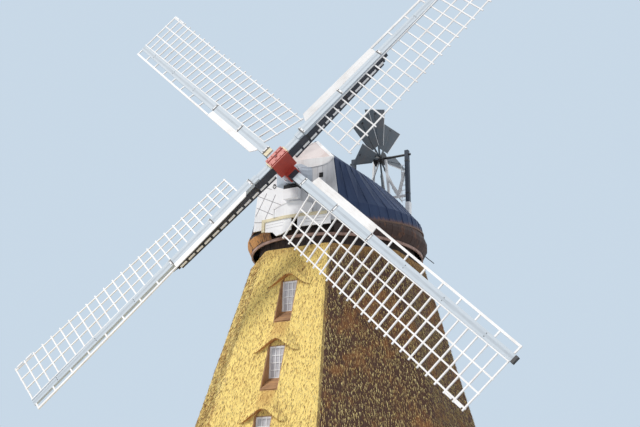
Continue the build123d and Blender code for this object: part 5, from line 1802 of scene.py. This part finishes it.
    def truss(self) -> None:
        """Batten behind one edge of the front stock, held off by white blocks and dark spacers."""
        battens = Batch("stock_battens", "sails", STOCK_PAINT)
        blocks = Batch("stock_blocks", "sails", WHITE)
        frame = self.frame(0)
        for side in (-1, 1):
            sections = []
            for r in self.batten_rs:
                edge, back = -self.stock(self.stock_halves, r), self.stock(self.stock_backs, r)
                low, high = ((edge + y, back + z) for y, z in zip(self.batten_ys, self.batten_zs))
                sections.append((side * r, rectangle(low, high)))
            battens.sweep(sections, frame)
            for k in range(self.blocks):
                r = self.first_block + k * self.block_pitch
                edge, back = -self.stock(self.stock_halves, r), self.stock(self.stock_backs, r)
                zs = (back + self.batten_zs[1] - self.joint, back + self.block_front)
                xs = (side * (r - self.block_half), side * (r + self.block_half))
                blocks.block(*zip(xs, (edge + y for y in self.block_ys), zs), frame)
                xs = (side * (r + self.block_half + self.seat), side * (r + self.spacer_end))
                battens.block(*zip(xs, (edge + y for y in self.spacer_ys), zs), frame)
        battens.build()
        blocks.build()

    def poll(self) -> None:
        """Wedges, bolts and the centre ring of the poll end."""
        frame = self.frame(0)
        wedges = Batch("poll_wedges", "sails", CREAM)
        wedges.pair(self.wedge, frame)
        wedges.block(*self.rear_wedge, self.frame(1))
        wedges.build()
        bolts = Row("poll_bolts", "sails", RED_IRON, Shape.STUD)
        for y in self.poll_bolt_ys:
            for x in self.poll_bolt_xs:
                bolts.stud((x, y, self.poll_bolt_z), *self.poll_bolt, frame)
        bolts.build()
        low, high, rim_z = (frame @ Vector((0, self.eye_y, z)) for z in self.eye_zs)
        ring = Batch("poll_ring", "sails", DARK_IRON)
        ring.rod(low, high, self.eye_radius, 12)
        ring.build()
        rim = Batch("poll_rim", "sails", RED_IRON)
        rim.loop(rim_z, frame.to_3x3() @ UP, *self.eye_rim)
        rim.build()


@dataclass(frozen=True)
class Fan:
    """Small parts of the fantail: battens over its boards, irons and the blocks of its trestle."""

    axle: Vector = Vector((0, 3.37, 16.76))
    phase: float = 15.0
    blades: int = 8
    pitch: float = math.radians(-35)
    blade_rs: Span = (0.56, 2.0)
    blade_ws: Span = (0.42, 0.90)
    batten_rs: tuple[float, ...] = (0.66, 1.16, 1.72)
    batten_half: float = 0.025
    batten_zs: Span = (-0.028, -0.0115)
    batten_inset: float = 0.01
    hook: tuple[Place, Place] = ((1.795, -0.036, -0.036), (1.85, 0.036, 0.036))
    edge_rs: Span = (0.562, 1.998)
    edge_ys: Span = (-0.012, 0.006)
    edge_half: float = 0.013
    boss_half: float = 0.15
    boss_radius: float = 0.17
    dark_piece_end: float = 0.19
    plate_radius: float = 0.26
    post_x: float = 1.15
    post_foot: Span = (3.60, 12.6003)
    post_lean: float = 0.23
    foot_block: Place = (0.085, 0.10, 0.24)
    foot_z: float = 14.6
    rungs: int = 8
    rung_xs: Span = (1.08, 0.90)
    first_rung: float = 14.95
    rung_pitch: float = 0.2
    rung_radius: float = 0.012
    rail_zs: Span = (14.90, 16.40)
    rail_radius: float = 0.014
    stay_top: Span = (0.07, 14.30)
    stay_foot: Place = (1.10, 2.55, 13.60)
    stay_radius: float = 0.016
    brace_foot: Span = (0.80, 15.20)
    brace_xs: Span = (0.36, 1.00)
    brace_z: float = 15.90
    brace_form: Place = (0.06, 0.025, 0.025)
    iron_zs: Span = (15.2, 16.5)
    iron_block: Place = (0.080, 0.080, 0.03)

    def frame(self, number: int) -> Matrix:
        """Frame of one blade: x out, y across it, z off its face."""
        wheel = Matrix(((0, 0, 1), (1, 0, 0), (0, 1, 0))).to_4x4()
        turn = Matrix.Rotation(math.radians(self.phase + 360 * number / self.blades), 4, "Z")
        return Matrix.Translation(self.axle) @ wheel @ turn @ Matrix.Rotation(self.pitch, 4, "X")

    def half_width(self, r: float) -> float:
        """Half the blade's width."""
        (start, end), (narrow, wide) = self.blade_rs, self.blade_ws
        return (narrow + (wide - narrow) * (r - start) / (end - start)) / 2

    def beside_post(self, x: float, z: float) -> Vector:
        """Point beside the leaning posts, level with their middle."""
        foot_y, foot_z = self.post_foot
        return Vector((x, foot_y - self.post_lean * (z - foot_z) / (self.axle.z - foot_z), z))

    def build(self) -> None:
        """Make the small parts."""
        self.wheel()
        self.boss()
        self.trestle()

    def wheel(self) -> None:
        """Battens and hooks over the blades, and their white edges."""
        battens = Batch("fan_battens", "fan", DARK_IRON)
        edges = Batch("fan_edges", "fan", WHITE)
        for number in range(self.blades):
            frame = self.frame(number)
            low, high = self.batten_zs
            for r in self.batten_rs:
                half = self.half_width(r) - self.batten_inset
                battens.block((r - self.batten_half, -half, low), (r + self.batten_half, half, high), frame)
            battens.block(*self.hook, frame)
            sections = []
            for r in self.edge_rs:
                low, high = (y - self.half_width(r) for y in self.edge_ys)
                sections.append((r, rectangle((low, -self.edge_half), (high, self.edge_half))))
            edges.sweep(sections, frame)
        battens.build()
        edges.build()

    def boss(self) -> None:
        """Iron boss at the middle of the wheel, with a plate on each side."""
        boss = Batch("fan_boss", "fan", DARK_IRON)
        end = ACROSS * self.boss_half
        boss.rod(self.axle - end, self.axle + end, self.boss_radius, 16)
        for side in (-1, 1):
            near, far = (self.axle + ACROSS * (side * x) for x in (self.boss_half, self.dark_piece_end))
            boss.rod(near, far, self.plate_radius, 16)
        boss.build()

    def trestle(self) -> None:
        """Foot blocks on the posts, rungs and braces beside them, stay rods and irons."""
        blocks = Batch("post_blocks", "cap", WHITE)
        rungs = Batch("post_rungs", "cap", WHITE)
        irons = Batch("post_irons", "cap", DARK_IRON)
        for side in (-1, 1):
            blocks.around(self.beside_post(side * self.post_x, self.foot_z), self.foot_block)
            self.ladder(rungs, side)
            out, top_z = self.stay_top
            top = self.beside_post(side * self.post_x, top_z) + FRONT * out
            x, y, z = self.stay_foot
            irons.rod(top, Vector((side * x, y, z)), self.stay_radius, 6)
            for z in self.iron_zs:
                irons.around(self.beside_post(side * self.post_x, z), self.iron_block)
        blocks.build()
        rungs.build()
        irons.build()

    def ladder(self, batch: Batch, side: int) -> None:
        """Add the rungs beside one post, the rail at their ends and two braces.

        Args:
            batch: the rungs.
            side: 1 on the right, -1 on the left.
        """
        near, far = self.rung_xs
        for k in range(self.rungs):
            z = self.first_rung + k * self.rung_pitch
            batch.rod(self.beside_post(side * near, z), self.beside_post(side * far, z), self.rung_radius, 6)
        low, high = (self.beside_post(side * far, z) for z in self.rail_zs)
        batch.rod(low, high, self.rail_radius, 6)
        x, z = self.brace_foot
        foot = self.beside_post(side * x, z)
        for x in self.brace_xs:
            batch.bar(foot, self.beside_post(side * x, self.brace_z), FRONT, self.brace_form)


def dress_nodes(nodes: dict[str, Object]) -> None:
    """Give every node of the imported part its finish."""
    finishes = {name: finish for finish, names in FINISHED_NODES.items() for name in names.split()}
    for name, piece in nodes.items():
        piece.data.materials.clear()
        piece.data.materials.append(PALETTE[finishes[name]])


def main() -> None:
    """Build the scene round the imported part."""
    logging.basicConfig(level=logging.INFO, format="%(name)s: %(message)s")
    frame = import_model()
    dress_nodes(frame["nodes"])
    for assembly in (Tower(), Roof(), Breast(), Skirt(), Sails(), Fan()):
        assembly.build()
    Studio().build()
    Camera().build()


if __name__ == "__main__":
    main()
